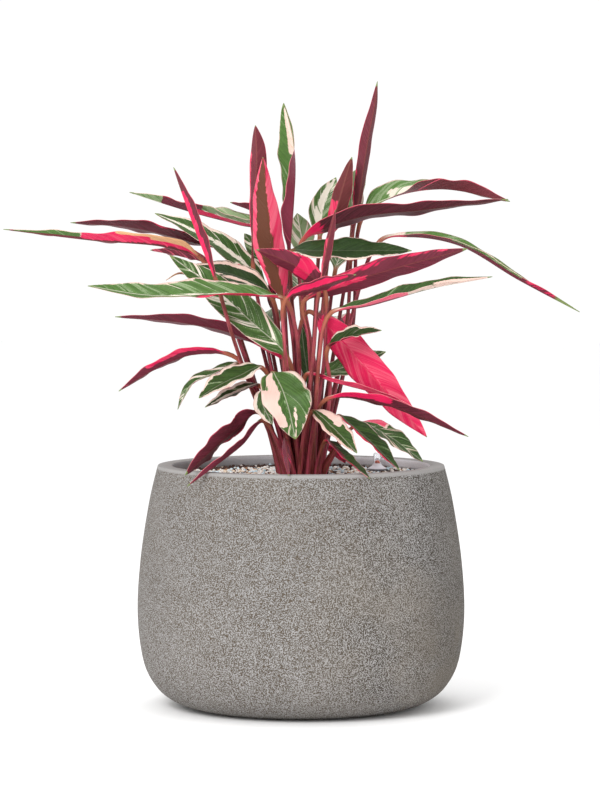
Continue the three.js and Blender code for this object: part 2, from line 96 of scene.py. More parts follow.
# where they lie: how far out, their spacing as a share of their size, how far they stray along and
# across their ring as shares of that spacing, how high they sit round the level, and how far they
# keep from the middle of the gauge and of a stalk
GRANULES_EDGE = 0.170
GRANULE_GAP = 1.08
STRAY_ALONG = 0.25
STRAY_ACROSS = 0.3
GRANULE_HEIGHTS = (-0.0014, 0.0024)
GAUGE_CLEAR = 0.0145
STALK_CLEAR = 0.0048
# one granule: its size as a share of the mean, its width, depth and height as shares of its size,
# how far it tips in radians, and its lumps: their height as a share of its radius, how many there are
# to its size, and how far apart the patterns of two granules start
GRANULE_SIZES = (0.75, 1.2)
GRANULE_SHAPE = ((0.85, 1.15), (0.85, 1.15), (0.9, 1.2))
GRANULE_TILT = 1.2
LUMP_HEIGHT = 0.28
LUMP_PACE = 1.9
LUMP_SHIFT = 50
# the dip in front of the gauge: half its width, its length and its depth
DIP = (0.016, 0.05, 0.0035)
GRANULE_SHARES = {"white": 0.50, "cream": 0.14, "grey": 0.14, "tan": 0.07, "brown": 0.15}
# granules at the back are made brown as painted shade: past this radius, behind this y and left of
# this x, in this share
SHADED_BACK_GRANULES = (0.135, 0.07, 0.11, 0.9)

# the water gauge in millimetres, (radius, height). The tube is its foot, its closed top, measured from
# the top, and its bore over the foot. The cone and the ring are over the gauge's foot, the float is
# over its own foot and the bead is round its middle.
TUBE_FOOT = ((2.0, 0.0), (5.0, 0.0))
TUBE_TOP = ((5.0, -1.0), (4.2, 0.0), (0.0, 0.0), (0.0, -2.0), (3.6, -2.0))
TUBE_BORE = ((3.6, 2.0), (2.0, 2.0), (2.0, 0.0))
GAUGE_FOOT = SOIL_LEVEL + 0.8
CONE = (
    (5.1, 1.7), (12.9, 1.7), (12.0, 2.6), (9.3, 4.0), (7.1, 5.6), (5.8, 7.2), (5.3, 8.8), (5.1, 8.8),
    (5.1, 1.7))
RING = ((5.2, -1.4), (13.6, -1.4), (14.0, -0.8), (14.0, 1.2), (13.4, 1.7), (5.2, 1.7), (5.2, -1.4))
FLOAT = ((0.0, 0.0), (3.0, 0.0), (3.0, 40.0), (1.0, 43.0))
BEAD = ((1.0, -3.2), (2.5, -2.4), (3.4, -0.7), (3.4, 0.7), (2.5, 2.4), (0.0, 3.2))
BEAD_HEIGHT = 9.8
# how far the float's foot is over the tube's, in metres
FLOAT_LIFT = 0.0023
GAUGE_FACETS = 48
BEAD_FACETS = 32

# the foot of a stalk in millimetres: how deep it stands, and how high over the level it is straight
STALK_DEPTH = 34
STRAIGHT_FOOT = 4
# how close the stalks stand across and from front to back, as a share of the roots in the list
ROOT_SPREAD = (0.58, 0.74)
# the rings along a stalk, and the power that draws those of a blade together near its base
STALK_STEPS = 26
STEP_POWER = 1.12
# the share of the stalk at which it has thinned to its neck, and the swelling above that: how much
# thicker it is, and where it starts and is full
SLIM_AT = 0.7
SWELLING = 0.22
SWELLING_FADE = (0.90, 0.95)
# the share of the blade at which it is free of the stalk's shape, and of its colour
CROWN_BLEND = 0.14
CROWN_COLOUR = 0.084
# a blade's outline is a sine to this power, and its half width is nowhere less than this
BLADE_POWER = 0.8
TIP_WIDTH = 0.0004
# the power that rounds the fold along the midrib
FOLD_POWER = 1.12
# the waves of a blade: how many, their height as a share of its width, and the power that keeps them
# towards the margins
RIPPLES = 3
RIPPLE_SHARE = 0.045
RIPPLE_POWER = 1.6
# its small waves likewise, and how their shift from leaf to leaf differs from that of the large ones
CRIMPS = 6.4
CRIMP_SHARE = 0.020
CRIMP_POWER = 3
CRIMP_PHASE = 1.7
# how the margins wander in and out likewise
WANDERS = 2.7
WANDER_SHARE = 0.045
WANDER_PHASE = 2.3
# the shift of the waves from one side to the other and from leaf to leaf, in radians
SIDE_PHASE = 2.0
LEAF_PHASE = 2.4
# half width of the midrib under the blade, and of the groove above it with its depth
KEEL_WIDTH = 0.0016
GROOVE_WIDTH = 0.0010
GROOVE_DEPTH = 0.0005
# how far a side vein runs towards the tip, for each unit that it runs outwards, at the midrib and
# how much more of it at the margin
VEIN_LEAN = 1.1
VEIN_CURL = 0.9
# how far apart the patterns of two leaves and of a leaf's sides start
LEAF_SEED = 3.7
SIDE_SEED = 1.7
# how soft a patch is at its ends, as a share of the blade's length, and beyond and within its sides,
# as shares of its half width
PATCH_END = 0.03
PATCH_BEYOND = 0.12
PATCH_WITHIN = 0.02
# how far from the end the green tip starts and is full, as shares of the leaf's own tip
TIP_START = 1.4
TIP_FULL = 0.6
# half the side of the floor, where the lamps point, and each lamp's place, size and share of the
# key light's power
FLOOR_REACH = 12
LAMP_TARGET = (0, 0, 0.45)
LAMPS = {
    "key_light": ((-1.3, -2.8, 2.2), 1.5, 1.0),
    "fill_light": ((2.2, -2.0, 1.2), 1.8, 0.02),
    "top_light": ((0.2, 0.6, 2.8), 1.8, 0.15),
}

# where each change in a material begins and ends, as the place, noise or attribute that steers it
GRAIN_COVER = (0.42, 0.57)
STAIN_COVER = (0.40, 0.72)
# painted shade on the right side of the wall: darker pits, a stronger brown cast and lighter raised grains
SHADED_RIGHT_SIDE = (-0.02, 0.24)
# painted shade: the wall turns to a dark brown cast close to its right edge
SHADED_RIGHT_EDGE = (0.13, 0.20)
# painted light and shade on the inner wall: pale on the right, a darker copy on the left
LIT_INNER_RIGHT = (-0.15, 0.08)
# painted light: the raised grains grow paler from this height down to this one
PAINTED_LIGHT_LOW_WALL = (0.22, 0.03)
LIP_SPECKS = (0.35, 0.70)
GRANULE_CLOUD = (0.35, 0.70)
GRANULE_PITS = (0.60, 0.75)
MARGIN_FADE = (0.93, 0.985)
RIB_FADE = (0.035, 0.095)
RIDGE_FADE = (0.38, 0.66)
GREY_FADE = (0.10, 0.42)
BLUSH_FADE = (0.30, 0.90)
WHITE_FADE = (0.46, 0.55)
PINK_FADE = (0.40, 0.60)
SALMON_FADE = (0.45, 1.0)
PATCH_FADE = (0.42, 0.60)
TIP_FADE = (0.40, 0.65)
STREAK_FADE = (0.38, 0.62)
MOTTLE_FADE = (0.45, 0.70)
TAN_STALKS = (0.52, 0.60)
BROWN_STALKS = (0.48, 0.40)
# painted shade: stalks behind the middle of the clump are darker
SHADED_BACK_STALKS = (-0.02, 0.03)
NECK_FADE = (-3.5, -1.0)


class Leaf(NamedTuple):
    """One leaf, in millimetres and degrees.

    root: where it stands, before ROOT_SPREAD; stalk, blade: points that the stalk passes and that the
    midrib runs through, from the base of the blade to its end; width: the greatest width; fold: how
    far each half is folded up; face, tip_face: where the upper side faces at the base and the end;
    widest: how far along the blade is widest; tone: how light the underside is; deep: how dark the
    green is; brown: how brown the underside is; tip: the share of the blade that is green on both
    sides at its end; pale: patches of white tissue as (from, to, one side, other side, share), with
    the sides from -1 to 1 across the blade; dry: patches of dried tissue in the same form; turned:
    patches where the lower face is coloured like the upper one; rolled: the other way round.
    """

    name: str
    root: tuple
    stalk: tuple
    blade: tuple
    width: float
    fold: float
    face: tuple
    tip_face: tuple = None
    widest: float = 0.44
    tone: float = 0.3
    deep: float = 0.5
    brown: float = 0.0
    tip: float = 0.03
    pale: tuple = ()
    dry: tuple = ()
    turned: tuple = ()
    rolled: tuple = ()


LEAVES = (
    Leaf("leaf_upright_01", (33, 15), ((58, 14, 482),),
         ((65, 14, 592), (74, 16, 656), (84, 18, 722), (94, 20, 772), (98, 20, 801)), 23, 45,
         (-0.3, 1, 0), widest=0.55, tone=0.5, brown=0.15, pale=((0.15, 0.5, 0.75, 1, 0.5),)),
    Leaf("leaf_upright_02", (-21, 4), ((-45, -12, 471),),
         ((-61, -12, 563), (-60, -16, 631), (-55, -20, 700), (-58, -20, 744)), 29, 38, (0.3, 1, 0.1),
         widest=0.7, tone=0.64, brown=0.24, tip=0.002, pale=((0, 0.8, 0.82, 1, 0.75),)),
    Leaf("leaf_upright_03", (-21, -7), ((-22, -50, 447),),
         ((-23, -58, 519), (-39, -64, 599), (-45, -64, 656), (-48, -62, 703)), 46, 30, (-0.35, 1, 0.1),
         tone=0.75, brown=1, tip=0.002,
         pale=((0, 1, -1, -0.3, 0.95), (0.1, 0.9, -0.3, -0.05, 0.72), (0.15, 1, 0.78, 1, 0.9))),
    Leaf("leaf_upright_04", (9, 4), (),
         ((-15, -20, 576), (-16, -24, 650), (-14, -26, 714), (-22, -26, 772)), 44, 40, (-0.8, 0.6, 0),
         tip_face=(-0.5, -1, 0), widest=0.55, tone=1.0, deep=0.2,
         pale=((0.66, 0.97, -0.3, 0.3, 0.95),), dry=((0.68, 0.97, -0.25, 0.3, 0.42),)),
    Leaf("leaf_upright_05", (21, 4), (),
         ((38, -6, 601), (50, -7, 650), (65, -4, 704)), 28, 30, (0.3, 1, 0.2),
         tone=0.65, brown=0.5, pale=((0, 0.45, 0.1, 1, 0.85), (0, 0.3, -1, 1, 0.5))),
    Leaf("leaf_upright_06", (9, -40), ((10, -66, 397), (16, -80, 460), (21, -88, 524)),
         ((26, -90, 549), (33, -92, 587), (43, -94, 637)), 17, 50, (0.3, 1, 0),
         tone=0.75, brown=0.25, pale=((0, 0.6, 0.1, 1, 0.6),)),
    Leaf("leaf_upright_07", (-39, -18), ((-71, -48, 431), (-90, -76, 490)),
         ((-106, -86, 546), (-133, -84, 622), (-160, -80, 690)), 22, 45, (0.8, 0.8, 0.4),
         widest=0.5, tone=0.45, brown=0.1, pale=((0.05, 0.8, -0.4, 0.05, 0.85),)),
    Leaf("leaf_upright_08", (15, 15), (),
         ((24, 15, 601), (28, 20, 641), (45, 30, 678)), 34, 15, (0, -1, 0.2),
         deep=0.4, pale=((0, 1, -1, 1, 0.42), (0.2, 1, -0.5, 0.1, 0.7))),
    Leaf("leaf_upright_09", (33, 27), (),
         ((67, 32, 621), (66, 36, 660), (84, 40, 695)), 32, 15, (0, -1, 0.2),
         deep=0.25, pale=((0, 1, -1, 1, 0.4),)),
    Leaf("leaf_upright_10", (3, 15), (),
         ((4, 22, 580), (0, 26, 605), (-5, 30, 632)), 34, 15, (0, -1, 0.3),
         deep=-0.6, pale=((0, 1, -1, 1, 0.36),)),

    Leaf("leaf_left_01", (-3, 37), ((-22, 42, 451),),
         ((-34, 44, 608), (-79, 48, 624), (-137, 54, 638), (-222, 60, 659)), 44, 35, (-0.1, -0.35, 1),
         tip_face=(0, 0.4, 0.9), widest=0.3, tone=0.45, deep=-1.0,
         pale=((0, 0.6, -0.5, -0.1, 0.95), (0, 1, 0, 1, 0.2)),
         turned=((0, 0.5, -1, -0.5, 1.1), (0.78, 1, -1, 1, 1.1))),
    Leaf("leaf_left_02", (9, 37), (),
         ((-26, 60, 589), (-56, 64, 633), (-92, 70, 646)), 34, 20, (0, 0.4, 1), tone=0.6),
    Leaf("leaf_left_03", (-27, 15), ((-56, 8, 483),),
         ((-89, 14, 578), (-142, 14, 598), (-219, 10, 616), (-295, 4, 620)), 36, 12, (0, 0.45, 1),
         tone=0.35, pale=((0.2, 0.5, -1, -0.8, 0.5),)),
    Leaf("leaf_left_04", (-39, 13), ((-70, 0, 442), (-101, -10, 526)),
         ((-127, -14, 574), (-167, -26, 592), (-268, -36, 601), (-377, -44, 612)), 38, 20, (0, 0.4, 1),
         widest=0.27, tone=0.55, deep=0.2, brown=0.3,
         pale=((0.2, 0.62, -1, -0.2, 1.1), (0.03, 0.35, -0.55, -0.2, 0.95)),
         dry=((0.03, 0.28, -1, -0.55, 1.1), (0.22, 0.45, -1, -0.8, 1.0)),
         turned=((0.62, 0.95, -1, -0.42, 1.1),)),
    Leaf("leaf_left_05", (-50, 23), ((-81, 8, 483),),
         ((-114, 4, 565), (-155, 6, 580), (-193, 4, 585)), 28, 20, (0, 0.5, 1),
         tone=0.85, brown=0.15, pale=((0, 1, -1, 1, 0.36),)),
    Leaf("leaf_left_06", (-9, 15), ((-27, 4, 453),),
         ((-45, 4, 538), (-93, -8, 586), (-142, -16, 614), (-186, -22, 632)), 40, 15, (-0.3, -0.7, 1),
         deep=0.55, pale=((0, 1, -0.12, 0.12, 0.8), (0.1, 1, 0.8, 1, 0.8), (0, 0.3, -1, -0.55, 1.0),
               (0, 1, -1, 1, 0.18)), rolled=((0, 0.28, -1, -0.6, 1.1),)),
    Leaf("leaf_left_07", (-9, 4), ((-25, -10, 454),),
         ((-39, -28, 528), (-80, -34, 554), (-145, -34, 565)), 38, 15, (-0.2, -0.8, 1),
         tone=0.85, deep=1.0, pale=((0, 1, 0.68, 0.9, 0.85), (0, 0.8, -0.55, -0.25, 0.8))),
    Leaf("leaf_left_08", (-9, -29), ((-4, -26, 345), (-3, -62, 460), (-14, -80, 515)),
         ((-21, -86, 525), (-95, -108, 536), (-188, -114, 533), (-266, -120, 542)), 46, 25,
         (0, -0.35, 1), tip_face=(-0.1, -0.8, 1), deep=0.2,
         pale=((0, 0.6, -0.2, 0.0, 0.7), (0.1, 1, 0.93, 1, 0.75), (0, 0.45, -1, -0.6, 1.0),
               (0, 1, -1, 1, 0.12)),
         rolled=((0.04, 0.46, -1, -0.4, 1.1),)),
    Leaf("leaf_left_09", (-15, -18), ((-9, -18, 345),),
         ((-15, -62, 446), (-65, -58, 498), (-115, -57, 542), (-166, -55, 579)), 44, 15, (-0.5, -1, 0.8),
         deep=0.5, pale=((0, 1, -1, 1, 0.29), (0.45, 1, -0.05, 0.05, 0.55))),
    Leaf("leaf_left_10", (-9, -7), ((-13, -24, 395),),
         ((-13, -36, 437), (-81, -38, 480), (-154, -40, 496), (-236, -42, 501)), 34, 15, (0, 0.55, 1),
         tone=0.45, pale=((0, 0.25, -1, 1, 0.85),)),
    Leaf("leaf_left_11", (-27, 27), (),
         ((-59, 28, 514), (-111, 28, 540), (-156, 26, 555), (-174, 26, 546)), 18, 20, (0, 0, 1),
         tone=0.8, brown=1, dry=((0, 1, -1, 1, 0.56),)),
    Leaf("leaf_left_12", (-45, -7), ((-75, -39, 441),),
         ((-93, -42, 454), (-141, -44, 455), (-191, -50, 434), (-231, -54, 407)), 26, 20, (0, 0.6, 1),
         tone=0.5, pale=((0, 0.7, -1, -0.6, 0.85),)),
    Leaf("leaf_left_13", (-39, 2), (),
         ((-78, -24, 440), (-109, -28, 431), (-141, -34, 415), (-157, -36, 383)), 22, 20, (-0.5, -0.5, 1),
         deep=0.6, pale=((0, 1, -1, 1, 0.38),)),
    Leaf("leaf_left_14", (-21, -29), (),
         ((-49, -62, 437), (-79, -80, 430), (-104, -92, 418), (-128, -102, 401)), 46, 15, (-0.3, -0.6, 1),
         deep=0.75, pale=((0, 0.95, -1, -0.6, 0.9), (0.1, 0.9, 0.85, 1, 0.8), (0, 1, -1, 1, 0.1))),
    Leaf("leaf_left_15", (-27, -18), (),
         ((-53, -54, 414), (-83, -68, 408), (-121, -76, 388)), 28, 20, (-0.3, -0.5, 1),
         deep=0.9, pale=((0, 0.9, -0.25, 0.15, 0.8), (0.1, 1, 0.7, 1, 0.85), (0, 1, -1, 1, 0.15))),
    Leaf("leaf_left_16", (-33, -29), (),
         ((-54, -62, 381), (-83, -88, 363), (-113, -120, 338), (-144, -150, 308)), 40, 12, (0.2, 0.9, 0.8),
         tone=0.45, pale=((0, 0.6, 0.75, 1, 0.6),)),
    Leaf("leaf_left_17", (-27, -51), (),
         ((-48, -76, 371), (-76, -108, 345), (-110, -140, 319), (-141, -162, 295)), 20, 30, (0.2, 0.6, 0.8),
         tone=0.6, pale=((0, 0.8, 0.3, 1, 0.6),)),
    Leaf("leaf_left_18", (-27, -40), (),
         ((-47, -72, 410), (-49, -82, 395), (-36, -90, 367)), 24, 15, (-0.3, -1, 0.4),
         deep=0.6, pale=((0, 1, 0.6, 1, 0.7), (0, 1, -1, -0.8, 0.7), (0, 1, -1, 1, 0.2))),

    Leaf("leaf_front_01", (-15, -40), (),
         ((-36, -78, 431), (-25, -102, 418), (-15, -120, 390), (-7, -128, 351)), 64, 12, (0.15, -0.8, 0.6),
         tone=1.0, deep=0.47,
         pale=((0.06, 0.5, 0.30, 0.62, 1.1), (0.36, 0.84, 0.44, 1, 1.05), (0.6, 1, -0.28, -0.22, 0.9),
               (0.1, 1, -1, -0.9, 0.75), (0, 1, -1, 1, 0.15))),
    Leaf("leaf_front_02", (-3, -51), (),
         ((14, -84, 383), (39, -102, 367), (70, -118, 333)), 36, 15, (0.3, -0.7, 0.8),
         tone=0.9, deep=0.65,
         pale=((0, 0.5, -1, -0.35, 0.9), (0.1, 0.95, 0.7, 1, 0.85), (0.4, 1, -1, -0.85, 0.8),
               (0, 1, -1, 1, 0.2))),
    Leaf("leaf_front_03", (-15, -51), (),
         ((-20, -84, 347), (-17, -145, 329), (-15, -192, 310)), 14, 45, (0, -0.4, -1),
         tone=0.5, pale=((0, 1, 0.2, 1, 0.4),)),
    Leaf("leaf_front_04", (33, -51), (),
         ((31, -72, 345), (55, -125, 329), (85, -184, 306)), 22, 25, (0.4, -0.4, 1),
         tone=0.4, deep=0.95, pale=((0, 1, 0.7, 1, 0.8),),
         rolled=((0, 0.45, -0.2, 1, 1.1), (0.4, 0.85, 0.65, 1, 1.1))),
    Leaf("leaf_front_05", (15, -29), ((29, -56, 444), (31, -72, 498)),
         ((30, -82, 534), (5, -82, 561), (-29, -86, 578), (-56, -92, 587)), 32, 15, (0, 0.9, 0.6),
         tone=0.5, pale=((0.28, 0.47, -1, 0.8, 1.1), (0.2, 0.9, -1, -0.85, 0.6))),

    Leaf("leaf_right_01", (45, 19), ((66, 24, 482),),
         ((80, 34, 630), (117, 36, 658), (179, 36, 669), (269, 30, 647)), 48, 30,
         (-0.2, -1, 1), tip_face=(0, 0.9, 0.8), widest=0.36,
         tone=0.6, brown=0.3, deep=-0.2, pale=((0.2, 0.5, -0.45, 0.0, 0.7), (0, 0.55, -1, 1, 0.22))),
    Leaf("leaf_right_02", (28, -7), ((19, -10, 420),),
         ((0, -26, 594), (37, -26, 618), (81, -26, 631), (152, -24, 638), (264, -18, 650)), 39, 12,
         (0, 0.6, 1), widest=0.28, tone=0.16, pale=((0, 0.12, -1, 1, 1),)),
    Leaf("leaf_right_03", (45, 5), ((64, -2, 496),),
         ((101, -4, 597), (139, -6, 605), (203, -12, 595), (279, -24, 550), (354, -36, 507)), 24, 35,
         (0, -0.45, 1), tip_face=(0, 0.3, 1), tone=0.5, deep=-0.1, tip=0.13,
         pale=((0, 0.12, -1, 1, 1), (0, 1, -1, 1, 0.12), (0.72, 0.9, 0.3, 1, 0.55)),
         turned=((0.34, 0.7, 0.72, 1, 1.1),)),
    Leaf("leaf_right_04", (3, -7), ((-9, -22, 458),),
         ((-16, -46, 581), (24, -50, 586), (87, -54, 586), (140, -56, 585)), 44, 10, (0, -0.75, 1),
         deep=1.0, pale=((0, 0.9, 0.82, 1, 0.7),)),
    Leaf("leaf_right_05", (-3, -40), ((-21, -84, 473),),
         ((-19, -98, 525), (21, -106, 541), (69, -108, 556)), 26, 15, (0, 0.8, 1),
         tone=0.4, pale=((0, 0.9, 0.2, 0.75, 0.9),)),
    Leaf("leaf_right_06", (9, -18), ((12, -41, 429), (9, -64, 480)),
         ((3, -68, 520), (49, -68, 542), (125, -70, 566), (210, -72, 588)), 35, 10, (0, 1, 0.6),
         tone=0.5,
         pale=((0.05, 0.5, 0.6, 0.9, 0.70), (0.45, 0.9, 0.74, 0.95, 0.55), (0, 0.4, -0.2, 0.2, 0.7))),
    Leaf("leaf_right_07", (21, -40), ((19, -64, 397), (24, -82, 460), (29, -90, 492)),
         ((38, -92, 508), (86, -94, 521), (162, -94, 542), (240, -92, 553)), 30, 35, (0, -0.3, 1),
         tone=0.9, deep=0.7,
         pale=((0, 0.65, 0.3, 1, 0.85), (0.64, 1, -0.6, 1, 0.8), (0.4, 0.7, -0.1, 0.2, 0.5)),
         turned=((0.48, 1, -1, 1, 1.1),)),
    Leaf("leaf_right_08", (-3, -18), ((-3, -36, 428), (-3, -48, 478)),
         ((9, -55, 508), (56, -58, 466), (106, -66, 409), (159, -72, 350)), 48, 10, (0.3, 1, 0.3),
         tone=0.62, tip=0.002, pale=((0.08, 1, -1, 1, 1),)),
    Leaf("leaf_right_09", (39, -33), ((37, -50, 408),),
         ((34, -84, 464), (55, -94, 479), (101, -100, 486)), 32, 25, (0.1, -0.5, 1),
         tone=0.3, deep=0.9, pale=((0.2, 1, 0.85, 1, 0.7), (0.1, 1, -1, -0.85, 0.7)),
         rolled=((0, 0.3, 0.05, 1, 1.1),)),
    Leaf("leaf_right_10", (27, -18), (),
         ((27, -30, 423), (56, -30, 438), (108, -28, 456)), 34, 10, (0, -0.8, 0.8),
         deep=0.6, pale=((0, 1, -1, 1, 0.3),)),
    Leaf("leaf_right_11", (3, -29), ((4, -26, 340),),
         ((7, -50, 428), (43, -72, 421), (105, -84, 404), (143, -88, 388)), 14, 20, (0, 0.5, 1),
         tone=0.7, pale=((0, 1, -1, 1, 0.8),)),
    Leaf("leaf_right_12", (15, -51), ((21, -72, 384),),
         ((33, -84, 399), (61, -94, 403), (124, -110, 390), (209, -124, 354)), 28, 15, (0, 0.6, 1),
         tone=0.3, pale=((0, 0.45, 0.3, 1, 0.95),)),
    Leaf("leaf_right_13", (51, -27), ((50, -38, 345),),
         ((47, -50, 375), (81, -68, 354), (124, -86, 309)), 32, 25, (0.3, -0.5, 0.9),
         deep=0.85, pale=((0, 1, 0.6, 1, 0.9), (0, 1, -1, 1, 0.15)),
         rolled=((0.06, 0.94, 0.6, 1, 1.1),)),
    Leaf("leaf_right_14", (45, -16), (),
         ((74, -24, 364), (110, -36, 352), (155, -44, 317)), 34, 15, (0.2, -0.6, 0.9),
         tone=0.8, deep=0.7, pale=((0, 1, -1, 1, 0.34), (0, 0.35, -1, -0.5, 1.1)),
         rolled=((0, 0.32, -1, -0.55, 1.1),)),

    Leaf("leaf_centre_01", (15, -7), (),
         ((10, -26, 412), (4, -28, 458), (0, -30, 493)), 17, 15, (0.3, -1, 0),
         deep=0.8, pale=((0, 1, -1, 1, 0.15),)),
    Leaf("leaf_back_01", (39, 48), (),
         ((30, 60, 330), (46, 80, 321), (58, 104, 304)), 22, 20, (0, 0.3, 1),
         tone=0.5, pale=((0, 1, -1, 1, 0.6),)),
    Leaf("leaf_back_02", (-15, 37), (),
         ((-45, 30, 562), (-58, 32, 585), (-73, 34, 606)), 26, 15, (-0.3, -0.8, 0.6),
         deep=0.7, pale=((0, 1, -1, 1, 0.3),)),
    Leaf("leaf_back_03", (-9, 26), ((-17, 18, 444),),
         ((-27, 12, 549), (-36, 16, 538), (-39, 18, 510)), 15, 15, (0, 0.4, 1),
         deep=0.7, pale=((0, 1, -1, 1, 0.3),)),
    Leaf("leaf_back_04", (9, 48), (),
         ((0, 68, 520), (-7, 130, 555), (-15, 222, 510)), 46, 15, (0, -0.4, 1),
         deep=0.5, pale=((0, 1, -1, -0.1, 0.45), (0, 1, -0.12, 0.12, 0.7))),
    Leaf("leaf_back_05", (21, 37), (),
         ((27, 62, 475), (45, 130, 498), (66, 225, 445)), 44, 15, (0, -0.4, 1),
         deep=0.7, pale=((0, 0.7, 0.4, 1, 0.85), (0, 1, -1, 1, 0.2))),
    Leaf("leaf_back_06", (33, 38), (),
         ((44, 56, 556), (58, 110, 590), (68, 195, 567)), 42, 15, (0, -0.4, 1),
         deep=0.4, pale=((0, 1, -1, 1, 0.35),)),
    Leaf("leaf_back_07", (-15, 48), (),
         ((-31, 68, 480), (-51, 120, 502), (-73, 188, 470)), 42, 15, (0, -0.4, 1),
         deep=0.6, pale=((0, 1, -1, -0.4, 0.7), (0, 1, -1, 1, 0.25))),
)


# ---- settings a user may change


def tint(name, description, default):
    """A colour property."""
    return FloatVectorProperty(
        name=name, description=description, default=default, subtype="COLOR", min=0.0, max=1.0)


def length(name, description, default):
    """A length property in metres."""
    return FloatProperty(
        name=name, description=description, default=default, min=0.0, unit="LENGTH", precision=5)


class PlanterSettings(bpy.types.PropertyGroup):
    """Sizes and colours of the planter."""

    lip_bevel: length("Lip bevel", "Bevel round the outer edge of the lip", 0.0015)
    segments: IntProperty(name="Segments", description="Facets round the planter", default=144, min=24)
    light: tint("Light grain", "Raised grains of the wall", (0.292, 0.285, 0.280))
    dark: tint("Dark grain", "Pits of the wall", (0.092, 0.072, 0.053))
    # the stain colour also serves for the painted shade on the right side and at the right edge of the wall
    stain: tint("Stain", "Brown cast in patches", (0.22, 0.185, 0.145))
    lip: tint("Lip", "Smooth lip", (0.318, 0.310, 0.304))
    # the inner wall's very pale colour is painted light; its left takes a painted shade copy of it
    inner: tint("Inner wall", "Smooth inner wall", (0.900, 0.890, 0.930))


class FillSettings(bpy.types.PropertyGroup):
    """Sizes and colours of the granules."""

    granule: length("Granule", "Mean size of a granule across", 0.0045)
    # the bed's near-black colour is dark soil made darker as painted shade between the granules and at the
    # wall
    bed: tint("Bed", "Damp fill under the granules", (0.014, 0.010, 0.008))
    white: tint("White", "White granules", (0.88, 0.85, 0.80))
    cream: tint("Cream", "Cream granules", (0.72, 0.58, 0.44))
    grey: tint("Grey", "Blue-grey granules", (0.60, 0.74, 0.80))
    tan: tint("Tan", "Tan granules", (0.36, 0.20, 0.12))
    # the brown granules also serve for the painted shade at the back
    brown: tint("Brown", "Brown granules", (0.07, 0.035, 0.025))


class GaugeSettings(bpy.types.PropertyGroup):
    """Colours of the water gauge."""

    clear: tint("Clear", "Clear tube", (0.93, 0.93, 0.95))
    cone: tint("Cone", "Frosted cone", (0.86, 0.85, 0.90))
    ring: tint("Ring", "Ring under the cone", (0.075, 0.070, 0.085))
    bead: tint("Bead", "Red level bead", (0.62, 0.075, 0.008))


class LeafSettings(bpy.types.PropertyGroup):
    """Sizes and colours of the leaves."""

    steps: IntProperty(name="Steps", description="Rings along a blade", default=80, min=8)
    across: IntProperty(name="Across", description="Points over one face of a blade", default=15, min=5)
    thickness: length("Thickness", "Blade thickness beside the midrib", 0.0009)
    edge: length("Edge", "Blade thickness at the margin", 0.0004)
    rib: length("Rib", "Height of the midrib under the blade", 0.0014)
    foot_radius: length("Stalk foot", "Stalk radius in the granules", 0.0033)
    neck_radius: length("Stalk neck", "Stalk radius below the blade", 0.0024)
    dark_green: tint("Dark green", "Deep green tissue", (0.013, 0.032, 0.005))
    green: tint("Green", "Mid green tissue", (0.080, 0.168, 0.034))
    grey_green: tint("Grey-green", "Half pale tissue", (0.250, 0.325, 0.175))
    cream: tint("Cream", "White tissue seen from above", (0.71, 0.65, 0.55))
    blush: tint("Blush", "Pink cast near the margin", (0.72, 0.46, 0.40))
    maroon: tint("Maroon", "Dark underside", (0.048, 0.006, 0.010))
    rose: tint("Rose maroon", "Light underside", (0.220, 0.026, 0.055))
    umber: tint("Umber", "Brown underside", (0.092, 0.027, 0.009))
    hot_pink: tint("Hot pink", "Underside of white tissue", (0.64, 0.009, 0.078))
    salmon: tint("Salmon", "Light underside of white tissue", (0.74, 0.125, 0.190))
    tip_green: tint("Tip", "Green tip", (0.170, 0.220, 0.075))
    dry: tint("Dry", "Dried tissue", (0.720, 0.390, 0.200))
    stalk: tint("Stalk", "Stalk", (0.470, 0.068, 0.112))
    # a darker copy of this colour is painted shade on the stalks at the back
    stalk_dark: tint("Stalk dark", "Dark streaks of the stalk", (0.160, 0.018, 0.032))
    neck: tint("Neck", "Top of the stalk and edges of its sheath", (0.31, 0.105, 0.050))


class StageSettings(bpy.types.PropertyGroup):
    """Camera, light and floor."""

    floor: tint("Floor", "Plain pale floor", (0.97, 0.97, 0.97))
    world: FloatProperty(name="World", description="Strength of the even light", default=1.03, min=0.0)
    key: FloatProperty(name="Key", description="Power of the key light in watts", default=86.0, min=0.0)
    distance: length("Distance", "Camera to the planter's axis, along the floor", 4.6)
    height: length("Height", "Camera above the floor", 0.648)
    target: length("Target", "Height that the camera looks at", 0.393)
    aside: length("Aside", "Camera left of the planter's axis", 0.00128)
    lens: FloatProperty(name="Lens", description="Focal length in millimetres", default=161.7, min=1.0)


# ---- materials


class Field:
    """A value or colour inside a material, with arithmetic that adds nodes."""

    def __init__(self, finish, socket):
        self.finish = finish
        self.socket = socket

    def __add__(self, other):
        return self.finish.math("ADD", self, other)

    def __sub__(self, other):
        return self.finish.math("SUBTRACT", self, other)

    def __rsub__(self, other):
        return self.finish.math("SUBTRACT", other, self)

    def __mul__(self, other):
        return self.finish.math("MULTIPLY", self, other)

    def __abs__(self):
        return self.finish.math("ABSOLUTE", self)

    def clamped(self):
        """The result of a Math node, kept from 0 to 1."""
        self.socket.node.use_clamp = True
        return self

    def swing(self, size):
        """A noise value moved and stretched, so that it swings by size round 0."""
        return self.finish.math("MULTIPLY_ADD", self, size, -size / 2)

    def step(self, low, high):
        """0 on low's side, 1 on high's side and smooth between."""
        inputs = {"Value": self, "From Min": low, "From Max": high}
        return self.finish.node("MapRange", inputs, interpolation_type="SMOOTHSTEP")

    def mix(self, first, second):
        """The colour first where this is 0 and second where it is 1."""
        return self.finish.node("Mix", {0: self, 6: first, 7: second}, 2, data_type="RGBA")


